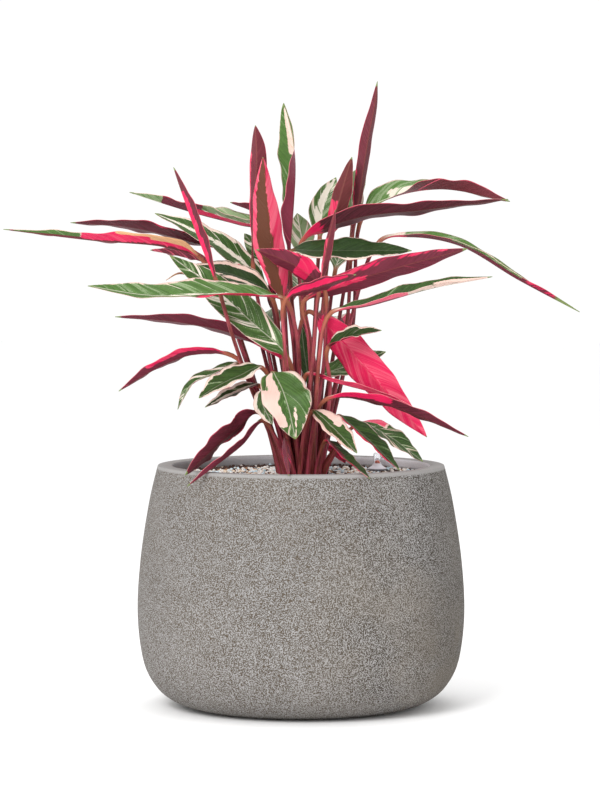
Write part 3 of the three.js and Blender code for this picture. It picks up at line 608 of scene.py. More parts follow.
class Finish:
    """A node material under construction, with short ways to add its nodes."""

    def __init__(self, name):
        self.material = bpy.data.materials.new(name)
        self.material.use_nodes = True
        self.tree = self.material.node_tree
        self.shader = self.tree.nodes["Principled BSDF"]

    def put(self, socket, value):
        """Links value to the socket, or sets it if it is a constant."""
        if isinstance(value, Field):
            self.tree.links.new(value.socket, socket)
        elif hasattr(socket.default_value, "__len__"):
            value = tuple(value)
            socket.default_value = value + (1.0,) * (len(socket.default_value) - len(value))
        else:
            socket.default_value = value

    def node(self, kind, inputs, output=0, **options):
        """Adds a node and gives one of its outputs."""
        node = self.tree.nodes.new("ShaderNode" + kind)
        for name, value in options.items():
            setattr(node, name, value)
        for key, value in inputs.items():
            self.put(node.inputs[key], value)
        return Field(self, node.outputs[output])

    def set(self, **values):
        """Sets shader sockets by name, with _ for a space."""
        for name, value in values.items():
            self.put(self.shader.inputs[name.replace("_", " ")], value)

    def math(self, operation, *values):
        """The result of a Math node."""
        return self.node("Math", dict(enumerate(values)), operation=operation)

    def noise(self, vector, scale, detail=2.0, roughness=0.5):
        """The strength of a Noise texture."""
        inputs = {"Vector": vector, "Scale": scale, "Detail": detail, "Roughness": roughness}
        return self.node("TexNoise", inputs)

    def attribute(self, name, output="Fac"):
        """A mesh attribute."""
        return self.node("Attribute", {}, output, attribute_name=name)

    def split(self, vector):
        """The three parts of a vector."""
        first = self.node("SeparateXYZ", {0: vector})
        return [Field(self, socket) for socket in first.socket.node.outputs]

    def join(self, *values):
        """A vector from three values."""
        return self.node("CombineXYZ", dict(enumerate(values)))

    def place(self):
        """The point in the object's own space."""
        return self.node("TexCoord", {}, "Object")

    def bump(self, height, distance, strength=1.0):
        """Adds relief from height, distance metres deep."""
        inputs = {"Height": height, "Distance": distance, "Strength": strength}
        self.set(Normal=self.node("Bump", inputs))


def shaded(colour, share):
    """colour made darker."""
    return tuple(part * share for part in colour)


def planter_finish(settings):
    """Speckled stone-look wall with a smooth lip and inner wall; painted shade on its right, painted light
    low down and on the inner wall.
    """
    finish = Finish("stone_look")
    place = finish.place()
    across, _, up = finish.split(place)
    worms = finish.noise(place, 760.0, 1.0, 0.4)
    grit = finish.noise(place, 1500.0, 2.0, 0.6)
    patches = finish.noise(place, 6.0, 3.0, 0.55)
    clouds = finish.noise(place, 17.0, 3.0, 0.6)
    rough = 1.0 - finish.attribute("lip")
    # side is painted shade on the right of the wall: it darkens the pits, strengthens the brown cast and
    # lightens the raised grains
    side = (across + patches.swing(0.3)).step(*SHADED_RIGHT_SIDE)
    cover = worms + (grit.swing(0.35) + clouds.swing(0.07))
    grain = (cover - side * 0.015).step(*GRAIN_COVER)
    pits = side.mix(settings.dark, shaded(settings.dark, 0.10))
    # painted light: raised grains paler on the lower wall
    grains = up.step(*PAINTED_LIGHT_LOW_WALL).mix(settings.light, shaded(settings.light, 1.16))
    grains = side.mix(grains, shaded(settings.light, 1.3))
    # the brown cast is a real stain in patches, made stronger on the right side as painted shade
    stain_and_painted_shade = (patches + clouds.swing(0.5)).step(*STAIN_COVER) * (side * 0.38 + 0.12)
    # painted shade darkening the wall towards its right edge
    painted_edge_shade = (across + patches.swing(0.06)).step(*SHADED_RIGHT_EDGE) * 0.5
    wall = stain_and_painted_shade.mix(grain.mix(pits, grains), settings.stain)
    wall = painted_edge_shade.mix(wall, shaded(settings.stain, 0.45))
    # painted light on the right of the inner wall and a painted shade copy of its colour on the left
    inner_lit_share = (across + clouds.swing(0.04)).step(*LIT_INNER_RIGHT)
    inner = inner_lit_share.mix(shaded(settings.inner, 0.37), settings.inner)
    lip = finish.attribute("inside").mix(settings.lip, inner)
    lip = (grit.step(*LIP_SPECKS) * 0.24).mix(lip, settings.dark)
    lip = (clouds * 0.15).mix(lip, settings.dark)
    finish.set(Base_Color=rough.mix(lip, wall), Roughness=0.9, Specular_IOR_Level=0.2)
    finish.bump(grain * rough, 0.0006, 0.8)
    return finish.material


def granule_finish(name, colour):
    """Matt mineral with small pits."""
    finish = Finish(f"granule_{name}")
    place = finish.place()
    cloud = finish.noise(place, 160.0, 3.0, 0.6)
    pits = finish.noise(place, 1300.0, 3.0, 0.65)
    shade = cloud.step(*GRANULE_CLOUD).mix(shaded(colour, 0.78), colour)
    shade = (pits.step(*GRANULE_PITS) * 0.3).mix(shade, shaded(colour, 0.35))
    finish.set(Base_Color=shade, Roughness=0.9, Specular_IOR_Level=0.3)
    finish.bump(pits, 0.0004, 0.6)
    return finish.material


def bed_finish(settings):
    """Near-black fill seen between the granules: dark soil, made darker as painted shade in the gaps."""
    finish = Finish("damp_bed")
    grain = finish.noise(finish.place(), 420.0, 3.0, 0.6)
    finish.set(Base_Color=grain.mix(settings.bed, shaded(settings.brown, 0.5)), Roughness=0.95)
    finish.bump(grain, 0.001, 0.8)
    return finish.material


def clear_finish(name, colour, clearness):
    """Clear or frosted plastic, faintly scuffed."""
    finish = Finish(name)
    scuff = finish.noise(finish.place(), 300.0, 3.0, 0.6)
    finish.set(
        Base_Color=colour, Roughness=scuff * 0.2 + 0.05, Transmission_Weight=clearness, IOR=1.04,
        Specular_IOR_Level=0.3)
    return finish.material


def gloss_finish(name, colour):
    """Smooth moulded plastic with slight clouding."""
    finish = Finish(name)
    cloud = finish.noise(finish.place(), 220.0)
    finish.set(Base_Color=cloud.mix(shaded(colour, 0.8), colour), Roughness=0.3)
    finish.bump(cloud, 0.0001, 0.3)
    return finish.material


class Blade(Finish):
    """The leaf material's inputs: attributes of the blade and streaks along its side veins.

    Attribute tissue holds the share of white tissue, the underside and the stalk; growth holds the
    place along a side vein and the distance across, both in centimetres, and a seed; kind holds the
    leaf's own lightness, depth of green and brown; age holds the shares of dried tissue, of the tip
    and of turned tissue, below 0 where it is rolled; out is 0 at the midrib and 1 at the margin.
    """

    def __init__(self):
        super().__init__("leaf")
        self.white, self.under, self.stalk = self.split(self.attribute("tissue", "Vector"))
        self.along, self.across, self.seed = self.split(self.attribute("growth", "Vector"))
        self.tone, self.deep, self.brown = self.split(self.attribute("kind", "Vector"))
        self.dry, self.tip, self.turned = self.split(self.attribute("age", "Vector"))
        self.out = self.attribute("out")

    def streaks(self, pace, stretch, offset, detail=2.0):
        """Noise drawn out along the side veins, pace to a centimetre."""
        vector = self.join(self.along * pace, self.across * stretch, self.seed + offset)
        return self.noise(vector, 1.0, detail, 0.55)


def leaf_finish(settings):
    """Living leaf: green and white tissue above, maroon and pink below, on a red stalk with painted shade
    at the back.
    """
    leaf = Blade()
    place = leaf.place()
    broad = leaf.streaks(0.75, 0.14, 0.0)
    thin = leaf.streaks(2.6, 0.3, 11.0)
    veins = leaf.streaks(5.5, 0.25, 23.0, 1.0)
    greying = leaf.streaks(1.0, 0.2, 37.0)
    mottle = leaf.noise(place, 210.0, 3.0, 0.6)
    speckle = leaf.noise(place, 850.0, 2.0, 0.6)
    level = leaf.white + (broad.swing(1.5) + thin.swing(0.8))
    margin = (leaf.out + thin.swing(0.12)).step(*MARGIN_FADE)
    rib = 1.0 - abs(leaf.across).step(*RIB_FADE)
    ridges = veins.step(*RIDGE_FADE)

    depth = (leaf.deep + ridges.swing(-0.35) + mottle.swing(0.5)).clamped()
    green = depth.mix(settings.green, settings.dark_green)
    half = greying.swing(2.4) + level * 0.75 + (speckle.swing(0.7) - leaf.deep * 0.4)
    green = (half.step(*GREY_FADE) * 0.85).mix(green, settings.grey_green)
    flush = leaf.out + (broad.swing(0.9) + leaf.tone.swing(1.2))
    cream = (flush.step(*BLUSH_FADE) * 0.75).mix(settings.cream, settings.blush)
    upper = level.step(*WHITE_FADE).mix(green, cream)
    upper = (rib * (0.6 - leaf.deep * 0.55)).mix(upper, settings.cream)
    upper = (margin * 0.9).mix(upper, cream)

    light = (leaf.tone + (ridges.swing(0.22) + thin.swing(0.5))).clamped()
    dusk = light.mix(settings.maroon, settings.rose)
    dusk = (leaf.brown * 0.95).mix(dusk, settings.umber)
    warm = (broad.swing(1.1) + (leaf.tone + ridges.swing(0.14))).clamped()
    pink = warm.step(*SALMON_FADE).mix(settings.hot_pink, settings.salmon)
    lower = level.step(*PINK_FADE).mix(dusk, pink)
    lower = (rib * 0.2).mix(lower, settings.neck)
    lower = (margin * 0.7).mix(lower, pink)

    sway = broad.swing(0.7)
    turned = (leaf.turned + sway).step(*PATCH_FADE)
    rolled = (sway - leaf.turned).step(*PATCH_FADE)
    blade = ((leaf.under - turned).clamped() + rolled).clamped().mix(upper, lower)
    blade = (leaf.tip + thin.swing(0.9)).step(*TIP_FADE).mix(blade, settings.tip_green)
    husk = ridges.mix(shaded(settings.dry, 0.8), settings.dry)
    blade = (leaf.dry + sway).step(*PATCH_FADE).mix(blade, husk)

    streak = leaf.noise(leaf.join(leaf.across * 9.0, leaf.along * 0.30, leaf.seed), 1.0)
    own = leaf.noise(leaf.join(leaf.seed * 0.8, 4.0, 0.0), 1.0, 0.0)
    stem = streak.step(*STREAK_FADE).mix(settings.stalk_dark, settings.stalk)
    for share, colour in (
            (mottle.step(*MOTTLE_FADE) * 0.35, settings.neck),
            (own.step(*TAN_STALKS) * 0.4, settings.neck),
            (own.step(*BROWN_STALKS) * 0.5, settings.umber),
            # painted shade on the stalks behind the middle of the clump
            (leaf.split(place)[1].step(*SHADED_BACK_STALKS) * 0.55, shaded(settings.stalk_dark, 0.4)),
            (leaf.along.step(*NECK_FADE) * 0.8, settings.neck)):
        stem = share.mix(stem, colour)
    leaf.set(
        Base_Color=leaf.stalk.mix(blade, stem), Roughness=leaf.under * 0.12 + 0.40,
        Specular_IOR_Level=0.22)
    leaf.bump(veins + (thin * 0.5 + mottle * 0.12), 0.0013, 0.5)
    return leaf.material


# ---- mesh helpers


def new_mesh(name, points, faces):
    """A smooth-shaded mesh."""
    mesh = bpy.data.meshes.new(name)
    mesh.from_pydata(points, [], faces)
    mesh.polygons.foreach_set("use_smooth", [True] * len(mesh.polygons))
    mesh.update()
    return mesh


def placed(name, data, spot=(0, 0, 0), target=None):
    """Links data as an object at spot, which looks at target if there is one."""
    thing = bpy.data.objects.new(name, data)
    bpy.context.scene.collection.objects.link(thing)
    thing.location = spot
    if target:
        aim = Vector(target) - thing.location
        thing.rotation_euler = aim.to_track_quat("-Z", "Y").to_euler()
    return thing


def new_piece(name, mesh, material, nodes):
    """Places mesh as a piece that rides on the plant, shows instead of nodes and is made of material."""
    piece = placed(name, mesh)
    mesh.materials.append(material)
    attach(piece, "root")
    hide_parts(*nodes)
    return piece


def lathe_mesh(name, profile, segments, middle=(0.0, 0.0)):
    """A body turned about Z through middle. Profile points (radius, height) run up the outside."""
    points = []
    rings = []
    for radius, height in profile:
        if radius == 0.0:
            rings.append([len(points)] * segments)
            points.append((middle[0], middle[1], height))
            continue
        rings.append(list(range(len(points), len(points) + segments)))
        for k in range(segments):
            angle = math.tau * k / segments
            points.append((
                middle[0] + radius * math.cos(angle), middle[1] + radius * math.sin(angle), height))
    faces = []
    for lower, upper in zip(rings, rings[1:]):
        for k in range(segments):
            j = (k + 1) % segments
            corners = [lower[k], lower[j], upper[j], upper[k]]
            faces.append(list(dict.fromkeys(corners)))
    return new_mesh(name, points, faces)


def lifted(outline, height):
    """An outline in millimetres as a profile in metres, lifted by height metres."""
    return [(radius * MM, height + up * MM) for radius, up in outline]


def smooth_curve(points, steps):
    """Points of an even Catmull-Rom curve through 2D points, steps to a span."""
    last = len(points) - 1
    result = []
    for span in range(last):
        before, first = points[max(span - 1, 0)], points[span]
        second, after = points[span + 1], points[min(span + 2, last)]
        for k in range(steps):
            t = k / steps
            result.append(tuple(
                0.5 * (2 * b + (c - a) * t + (2 * a - 5 * b + 4 * c - d) * t * t
                       + (3 * b - 3 * c + d - a) * t ** 3)
                for a, b, c, d in zip(before, first, second, after)))
    result.append(tuple(points[last]))
    return result


# ---- planter and what fills it


def planter_profile(settings):
    """Outline of the planter from the middle of its foot, up the outside and down the inside."""
    bevel = settings.lip_bevel / MM
    top = RIM / MM
    lip = [(LIP_EDGE - bevel * (1 - math.cos(a)), top - bevel * (1 - math.sin(a)))
           for a in (0.0, math.pi / 8, math.pi / 4, 3 * math.pi / 8, math.pi / 2)]
    mouth = [(MOUTH + MOUTH_BEVEL, top), (MOUTH, top - MOUTH_BEVEL)]
    outside = [(0.0, 0.0)] + smooth_curve(PLANTER_SIDE, steps=12)
    return outside + lip + mouth + smooth_curve(PLANTER_INSIDE, steps=6) + list(PLANTER_FLOOR)


def planter_mesh(settings):
    """The planter. Attribute lip is 1 on the smooth lip and inner wall, inside on the latter alone."""
    mesh = lathe_mesh("planter_wall", lifted(planter_profile(settings), 0.0), settings.segments)
    lip, inside = [], []
    for vertex in mesh.vertices:
        inner = vertex.co.z > INNER_FROM and vertex.co.xy.length < INNER_RADIUS
        inside.append(1.0 if inner and vertex.co.z < RIM - INNER_BELOW_RIM else 0.0)
        lip.append(1.0 if inner or vertex.co.z > RIM - LIP_BAND else 0.0)
    for name, values in (("lip", lip), ("inside", inside)):
        mesh.attributes.new(name, "FLOAT", "POINT").data.foreach_set("value", values)
    return mesh


def granule_body(size, rng):
    """Points and faces of one rounded, uneven granule about the origin."""
    body = bmesh.new()
    bmesh.ops.create_icosphere(body, subdivisions=2, radius=size / 2)
    stretch = Vector([rng.uniform(*span) for span in GRANULE_SHAPE])
    shift = Vector((rng.random(), rng.random(), rng.random())) * LUMP_SHIFT
    turn = Matrix.Rotation(rng.uniform(0, math.tau), 3, "Z")
    turn = turn @ Matrix.Rotation(rng.uniform(0, GRANULE_TILT), 3, "X")
    for vertex in body.verts:
        lump = 1.0 + LUMP_HEIGHT * noise.noise(vertex.co / size * LUMP_PACE + shift)
        vertex.co = turn @ Vector(c * s * lump for c, s in zip(vertex.co, stretch))
    points = [vertex.co.copy() for vertex in body.verts]
    faces = [[vertex.index for vertex in face.verts] for face in body.faces]
    body.free()
    return points, faces


def granule_places(settings, rng):
    """Places for the granules on the top of the fill, clear of the stalks and the gauge."""
    gap = settings.granule * GRANULE_GAP
    roots = [Vector(root_place(leaf)) * MM for leaf in LEAVES]
    gauge = Vector(GAUGE_MIDDLE)
    half, reach_forward, depth = DIP
    places = []
    for ring in range(int(GRANULES_EDGE / gap)):
        radius = GRANULES_EDGE - gap * ring
        count = max(int(math.tau * radius / gap), 1)
        phase = rng.uniform(0, math.tau)
        for k in range(count):
            stray = rng.uniform(-STRAY_ALONG, STRAY_ALONG) * gap / max(radius, gap)
            angle = phase + math.tau * k / count + stray
            reach = min(radius + rng.uniform(-STRAY_ACROSS, STRAY_ACROSS) * gap, GRANULES_EDGE)
            spot = Vector((math.cos(angle), math.sin(angle))) * reach
            if (spot - gauge).length < GAUGE_CLEAR:
                continue
            if min((spot - root).length for root in roots) < STALK_CLEAR:
                continue
            dip = depth if abs(spot.x - gauge.x) < half and -reach_forward < spot.y - gauge.y < 0 else 0.0
            height = SOIL_LEVEL * MM - dip + rng.uniform(*GRANULE_HEIGHTS)
            places.append(Vector((spot.x, spot.y, height)))
    return places


# ---- leaf


def blade_shape(along, widest):
    """Half width of a blade as a share of its full width, from base 0 to tip 1."""
    return 0.5 * math.sin(math.pi * along ** (math.log(0.5) / math.log(widest))) ** BLADE_POWER


def smoothstep(value, low, high):
    """0 below low, 1 above high and smooth between."""
    t = min(max((value - low) / (high - low), 0.0), 1.0)
    return t * t * (3.0 - 2.0 * t)


def root_place(leaf):
    """Where the leaf's stalk stands, in millimetres."""
    return tuple(value * spread for value, spread in zip(leaf.root, ROOT_SPREAD))


class Route:
    """The centre line of a leaf, from its foot to its tip, measured along its length."""

    fine = 40

    def __init__(self, leaf):
        x, y = root_place(leaf)
        knots = [(x, y, SOIL_LEVEL - STALK_DEPTH), (x, y, SOIL_LEVEL + STRAIGHT_FOOT)]
        knots = [Vector(p) * MM for p in (*knots, *leaf.stalk, *leaf.blade)]
        self.points = []
        for span in range(len(knots) - 1):
            self.points += self.span_points(knots, span)
        self.points.append(knots[-1])
        self.reach = [0.0]
        for first, second in zip(self.points, self.points[1:]):
            self.reach.append(self.reach[-1] + (second - first).length)
        self.ground = self.reach[self.fine]
        self.crown = self.reach[self.fine * (2 + len(leaf.stalk))]
        self.end = self.reach[-1]

    def span_points(self, knots, span):
        """Points of the centripetal Catmull-Rom span after knot number span."""
        first, second = knots[span], knots[span + 1]
        before = knots[span - 1] if span else first * 2 - second
        after = knots[span + 2] if span + 2 < len(knots) else second * 2 - first
        gaps = [max((b - a).length ** 0.5, 1e-4) for a, b in (
            (before, first), (first, second), (second, after))]
        leave = (first - before) / gaps[0] - (second - before) / (gaps[0] + gaps[1])
        leave = (leave + (second - first) / gaps[1]) * gaps[1]
        arrive = (second - first) / gaps[1] - (after - first) / (gaps[1] + gaps[2])
        arrive = (arrive + (after - second) / gaps[2]) * gaps[1]
        square = (second - first) * 3 - leave * 2 - arrive
        cube = (first - second) * 2 + leave + arrive
        shares = [k / self.fine for k in range(self.fine)]
        return [first + leave * t + square * t * t + cube * t ** 3 for t in shares]

    def at(self, distance):
        """Point and direction at a distance from the foot."""
        low = min(bisect.bisect_right(self.reach, distance), len(self.reach) - 1) - 1
        high = low + 1
        span = self.reach[high] - self.reach[low]
        share = (distance - self.reach[low]) / span
        ahead = self.points[min(high + 1, len(self.points) - 1)] - self.points[max(low - 1, 0)]
        return self.points[low].lerp(self.points[high], share), ahead.normalized()


def stations(leaf, route, settings):
    """Places along the leaf: (distance, share of the stalk, share of the blade)."""
    result = [(0.0, 0.0, 0.0)]
    for k in range(STALK_STEPS):
        share = k / STALK_STEPS
        result.append((route.ground + (route.crown - route.ground) * share, share, 0.0))
    for k in range(settings.steps + 1):
        along = (k / settings.steps) ** STEP_POWER
        result.append((route.crown + (route.end - route.crown) * along, 1.0, along))
    return result


def stalk_radius(share, settings):
    """Radius of the stalk, with the swelling just under the blade."""
    slim = smoothstep(share, 0.0, SLIM_AT)
    radius = settings.foot_radius + (settings.neck_radius - settings.foot_radius) * slim
    return radius * (1.0 + SWELLING * smoothstep(share, *SWELLING_FADE))


def ring_shape(leaf, stalk, along, phase, settings):
    """Points (across, up, u) round a section: the upper face, then the lower one backwards."""
    count = settings.across
    fold = math.radians(leaf.fold)
    width = leaf.width * MM
    reach = max(width * blade_shape(along, leaf.widest), TIP_WIDTH)
    rise = reach / 2 * math.sin(fold)
    swell = width * math.sin(math.pi * along)
    blend = smoothstep(along, 0.0, CROWN_BLEND)
    radius = stalk_radius(stalk, settings)
    result = []
    for sign in (1.0, -1.0):
        for k in range(count):
            u = sign * (-1.0 + 2.0 * k / (count - 1))
            angle = math.pi * (count - 0.5 - (k if sign > 0 else count - 1 - k)) / count
            round_point = (radius * math.cos(angle), sign * radius * math.sin(angle))
            side = SIDE_PHASE if u > 0 else 0.0
            height = rise * (2.0 * abs(u) ** FOLD_POWER - 1.0)
            ripple = math.sin(math.tau * RIPPLES * along + phase + side)
            height += RIPPLE_SHARE * swell * ripple * abs(u) ** RIPPLE_POWER
            crimp = math.sin(math.tau * CRIMPS * along + CRIMP_PHASE * phase + side)
            height += CRIMP_SHARE * swell * crimp * abs(u) ** CRIMP_POWER
            wander = math.sin(math.tau * WANDERS * along + WANDER_PHASE * phase + side)
            thick = settings.edge + (settings.thickness - settings.edge) * (1.0 - abs(u) ** 2)
            height += sign * thick / 2
            depth, spread = (GROOVE_DEPTH, GROOVE_WIDTH) if sign > 0 else (settings.rib, KEEL_WIDTH)
            height -= depth * (1.0 - along) * math.exp(-(u * reach / spread) ** 2)
            out = u * reach * (1.0 + WANDER_SHARE * wander) * math.cos(fold)
            x = round_point[0] + (out - round_point[0]) * blend
            z = round_point[1] + (height - round_point[1]) * blend
            result.append((x, z, u))
    return result


def patch_share(patches, along, u):
    """The largest share that patches give a place on the blade."""
    share = 0.0
    for start, end, left, right, amount in patches:
        inside = smoothstep(along, start - PATCH_END, start + PATCH_END) if start > 0 else 1.0
        inside *= 1.0 - smoothstep(along, end - PATCH_END, end + PATCH_END) if end < 1 else 1.0
        inside *= smoothstep(u, left - PATCH_BEYOND, left + PATCH_WITHIN) if left > -1 else 1.0
        inside *= 1.0 - smoothstep(u, right - PATCH_WITHIN, right + PATCH_BEYOND) if right < 1 else 1.0
        share = max(share, amount * inside)
    return share


def leaf_frames(leaf, route, places):
    """Centre, up and across at each place, carried down the stalk from the blade's facing."""
    face = Vector(leaf.face).normalized()
    tip_face = Vector(leaf.tip_face or leaf.face).normalized()
    up = face
    frames = []
    for distance, stalk, along in reversed(places):
        point, tangent = route.at(distance)
        wanted = up if stalk < 1.0 else face.lerp(tip_face, along)
        up = (wanted - tangent * wanted.dot(tangent)).normalized()
        frames.append((point, up, tangent.cross(up)))
    return reversed(frames)


def leaf_mesh(leaf, order, settings):
    """Blade and stalk of one leaf as one closed skin, with its growth attributes."""
    route = Route(leaf)
    places = stations(leaf, route, settings)
    points, tissue, growth, out, age = [], [], [], [], []
    count = 2 * settings.across
    for (distance, stalk, along), (point, up, across) in zip(places, leaf_frames(leaf, route, places)):
        stem = 1.0 - smoothstep(along, 0.0, CROWN_COLOUR)
        tip = smoothstep(along, 1.0 - TIP_START * leaf.tip, 1.0 - TIP_FULL * leaf.tip)
        for k, (x, z, u) in enumerate(ring_shape(leaf, stalk, along, order * LEAF_PHASE, settings)):
            points.append(point + across * x + up * z)
            white = patch_share(leaf.pale, along, u)
            tissue.append((white, 1.0 if k >= settings.across else 0.0, stem))
            turned = patch_share(leaf.turned, along, u) - patch_share(leaf.rolled, along, u)
            age.append((patch_share(leaf.dry, along, u), tip, turned))
            vein = distance - route.crown - abs(x) * (VEIN_LEAN + VEIN_CURL * abs(u))
            seed = order * LEAF_SEED + (SIDE_SEED if u > 0 else 0.0)
            growth.append((vein / CM, x / CM, seed))
            out.append(abs(u) * (1.0 - stem))
    faces = []
    for ring in range(len(places) - 1):
        for k in range(count):
            a, b = ring * count + k, ring * count + (k + 1) % count
            faces.append((a, b, b + count, a + count))
    faces.append(tuple(range(count - 1, -1, -1)))
    last = (len(places) - 1) * count
    faces.append(tuple(range(last, last + count)))
    mesh = new_mesh(leaf.name + "_blade", points, faces)
    kind = [(leaf.tone, leaf.deep, leaf.brown)] * len(points)
    for name, values in (("tissue", tissue), ("growth", growth), ("kind", kind), ("age", age)):
        layer = mesh.attributes.new(name, "FLOAT_VECTOR", "POINT")
        layer.data.foreach_set("vector", [part for value in values for part in value])
    mesh.attributes.new("out", "FLOAT", "POINT").data.foreach_set("value", out)
    return mesh


def grow_leaves(group, settings):
    """Builds every leaf whose name holds one of the words in group."""
    material = bpy.data.materials.get("leaf") or leaf_finish(settings)
    for order, leaf in enumerate(LEAVES):
        if leaf.name.split("_")[1] in group:
            mesh = leaf_mesh(leaf, order, settings)
            new_piece(leaf.name + "_blade", mesh, material, [leaf.name])


# ---- operators


class PLANT_OT_planter(bpy.types.Operator):
    """Build the planter"""

    bl_idname = "plant.planter"
    bl_label = "Planter"

    def execute(self, context):
        settings = context.scene.plant_planter
        new_piece(
            "planter_wall", planter_mesh(settings), planter_finish(settings), ["planter"])
        return {"FINISHED"}


class PLANT_OT_fill(bpy.types.Operator):
    """Build the fill and the granules on top of it"""

    bl_idname = "plant.fill"
    bl_label = "Granules"

    def execute(self, context):
        settings = context.scene.plant_fill
        profile = lifted(BED_SIDE, 0.0) + lifted(BED_TOP, SOIL_LEVEL * MM)
        mesh = lathe_mesh("fill_bed", profile, BED_FACETS)
        new_piece("fill_bed", mesh, bed_finish(settings), ["substrate"])
        rng = random.Random(GRANULE_SEED)
        sorted_places = {name: [] for name in GRANULE_SHARES}
        past, behind, left_of, amount = SHADED_BACK_GRANULES
        for place in granule_places(settings, rng):
            name = rng.choices(list(GRANULE_SHARES), list(GRANULE_SHARES.values()))[0]
            # painted shade: most granules near the back-left of the rim are made brown
            back = place.xy.length > past and place.y > behind and place.x < left_of
            painted_back_shade = back and rng.random() < amount
            sorted_places["brown" if painted_back_shade else name].append(place)
        for name, places in sorted_places.items():
            points, faces = [], []
            for place in places:
                body, sides = granule_body(settings.granule * rng.uniform(*GRANULE_SIZES), rng)
                start = len(points)
                points += [point + place for point in body]
                faces += [[start + k for k in side] for side in sides]
            mesh = new_mesh(f"granules_{name}", points, faces)
            material = granule_finish(name, getattr(settings, name))
            new_piece(f"granules_{name}", mesh, material, ["granules"])
        return {"FINISHED"}


class PLANT_OT_gauge(bpy.types.Operator):
    """Build the water gauge"""

    bl_idname = "plant.gauge"
    bl_label = "Water gauge"

    def execute(self, context):
        settings = context.scene.plant_gauge
        low, high = GAUGE_LOW[2], GAUGE_HIGH[2]
        tube = lifted(TUBE_FOOT, low) + lifted(TUBE_TOP, high) + lifted(TUBE_BORE, low)
        for name, profile, material in (
                ("gauge_pipe", tube, clear_finish("clear_plastic", settings.clear, 0.95)),
                ("gauge_cone", lifted(CONE, GAUGE_FOOT * MM),
                 clear_finish("frosted_plastic", settings.cone, 0.25)),
                ("gauge_ring", lifted(RING, GAUGE_FOOT * MM),
                 gloss_finish("ring_plastic", settings.ring))):
            mesh = lathe_mesh(name, profile, GAUGE_FACETS, GAUGE_MIDDLE)
            new_piece(name, mesh, material, ["gauge_tube"])
        rod = lifted(FLOAT, low + FLOAT_LIFT) + lifted(BEAD, (GAUGE_FOOT + BEAD_HEIGHT) * MM)
        mesh = lathe_mesh("gauge_bead", rod, BEAD_FACETS, GAUGE_MIDDLE)
        material = gloss_finish("gauge_bead_plastic", settings.bead)
        new_piece("gauge_bead", mesh, material, ["gauge_float"])
        return {"FINISHED"}


class PLANT_OT_upright_leaves(bpy.types.Operator):
    """Build the leaves that stand up"""

    bl_idname = "plant.upright_leaves"
    bl_label = "Upright leaves"

    def execute(self, context):
        grow_leaves(("upright", "centre"), context.scene.plant_leaf)
        return {"FINISHED"}


class PLANT_OT_left_leaves(bpy.types.Operator):
    """Build the leaves on the left"""

    bl_idname = "plant.left_leaves"
    bl_label = "Left leaves"

    def execute(self, context):
        grow_leaves(("left",), context.scene.plant_leaf)
        return {"FINISHED"}


class PLANT_OT_right_leaves(bpy.types.Operator):
    """Build the leaves on the right"""

    bl_idname = "plant.right_leaves"
    bl_label = "Right leaves"

    def execute(self, context):
        grow_leaves(("right",), context.scene.plant_leaf)
        return {"FINISHED"}


class PLANT_OT_front_and_back_leaves(bpy.types.Operator):
    """Build the leaves in front and at the back"""

    bl_idname = "plant.front_and_back_leaves"
    bl_label = "Front and back leaves"

    def execute(self, context):
        grow_leaves(("front", "back"), context.scene.plant_leaf)
        return {"FINISHED"}


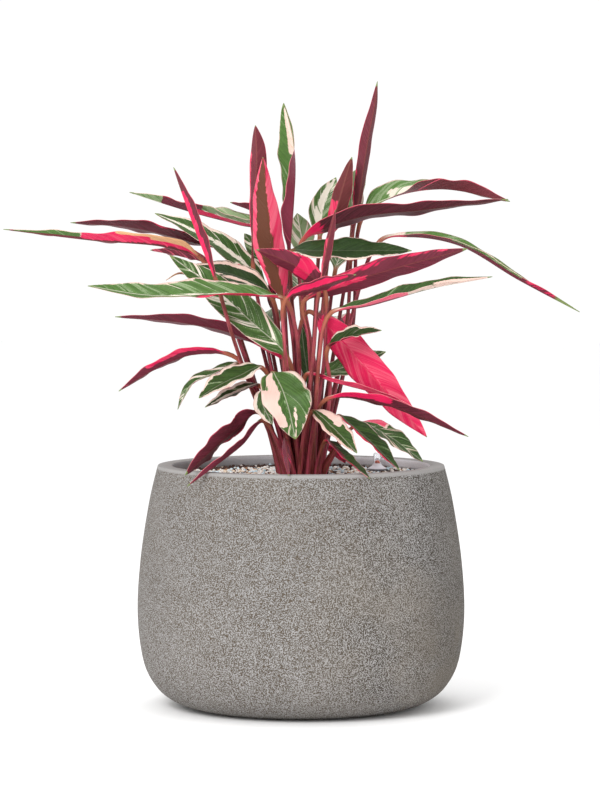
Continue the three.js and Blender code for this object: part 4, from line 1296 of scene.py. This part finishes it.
class PLANT_OT_stage(bpy.types.Operator):
    """Build the floor, the lights and the camera"""

    bl_idname = "plant.stage"
    bl_label = "Stage"

    def execute(self, context):
        scene = context.scene
        settings = scene.plant_stage
        camera = bpy.data.cameras.new("camera")
        camera.sensor_fit = "VERTICAL"
        camera.sensor_height = 36.0
        camera.lens = settings.lens
        camera.clip_end = 50.0
        scene.camera = placed(
            "camera", camera, (-settings.aside, -settings.distance, settings.height),
            (-settings.aside, 0.0, settings.target))

        corners = [(x * FLOOR_REACH, y * FLOOR_REACH, 0) for x, y in ((-1, -1), (1, -1), (1, 1), (-1, 1))]
        mesh = new_mesh("floor", corners, [(0, 1, 2, 3)])
        floor = placed("floor", mesh)
        finish = Finish("floor")
        finish.set(Base_Color=settings.floor, Roughness=0.9)
        mesh.materials.append(finish.material)

        world = bpy.data.worlds.new("studio")
        world.use_nodes = True
        sky = world.node_tree.nodes["Background"]
        sky.inputs["Color"].default_value = (1.0, 1.0, 1.0, 1.0)
        sky.inputs["Strength"].default_value = settings.world
        scene.world = world
        for name, (spot, size, share) in LAMPS.items():
            lamp = bpy.data.lights.new(name, "AREA")
            lamp.size = size
            lamp.energy = settings.key * share
            placed(name, lamp, spot, LAMP_TARGET)
        scene.view_settings.view_transform = "Standard"
        return {"FINISHED"}


class PLANT_PT_panel(bpy.types.Panel):
    """Lists the steps of the plant"""

    bl_label = "Potted prayer plant"
    bl_space_type = "VIEW_3D"
    bl_region_type = "UI"
    bl_category = "Plant"

    def draw(self, context):
        for operator in OPERATORS:
            self.layout.operator(operator.bl_idname)


SETTINGS = {
    "plant_planter": PlanterSettings,
    "plant_fill": FillSettings,
    "plant_gauge": GaugeSettings,
    "plant_leaf": LeafSettings,
    "plant_stage": StageSettings,
}
OPERATORS = (
    PLANT_OT_stage, PLANT_OT_planter, PLANT_OT_fill, PLANT_OT_gauge, PLANT_OT_upright_leaves,
    PLANT_OT_left_leaves, PLANT_OT_right_leaves, PLANT_OT_front_and_back_leaves)


def register():
    """Registers the settings, the operators and the panel."""
    for cls in (*SETTINGS.values(), *OPERATORS, PLANT_PT_panel):
        bpy.utils.register_class(cls)
    for name, cls in SETTINGS.items():
        setattr(bpy.types.Scene, name, PointerProperty(type=cls))


def unregister():
    """Removes what register added."""
    for name in SETTINGS:
        delattr(bpy.types.Scene, name)
    for cls in reversed((*SETTINGS.values(), *OPERATORS, PLANT_PT_panel)):
        bpy.utils.unregister_class(cls)


def main():
    """Builds the stage and every piece."""
    register()
    bpy.ops.plant.stage()
    bpy.ops.plant.planter()
    bpy.ops.plant.fill()
    bpy.ops.plant.gauge()
    bpy.ops.plant.upright_leaves()
    bpy.ops.plant.left_leaves()
    bpy.ops.plant.right_leaves()
    bpy.ops.plant.front_and_back_leaves()


if __name__ == "__main__":
    main()
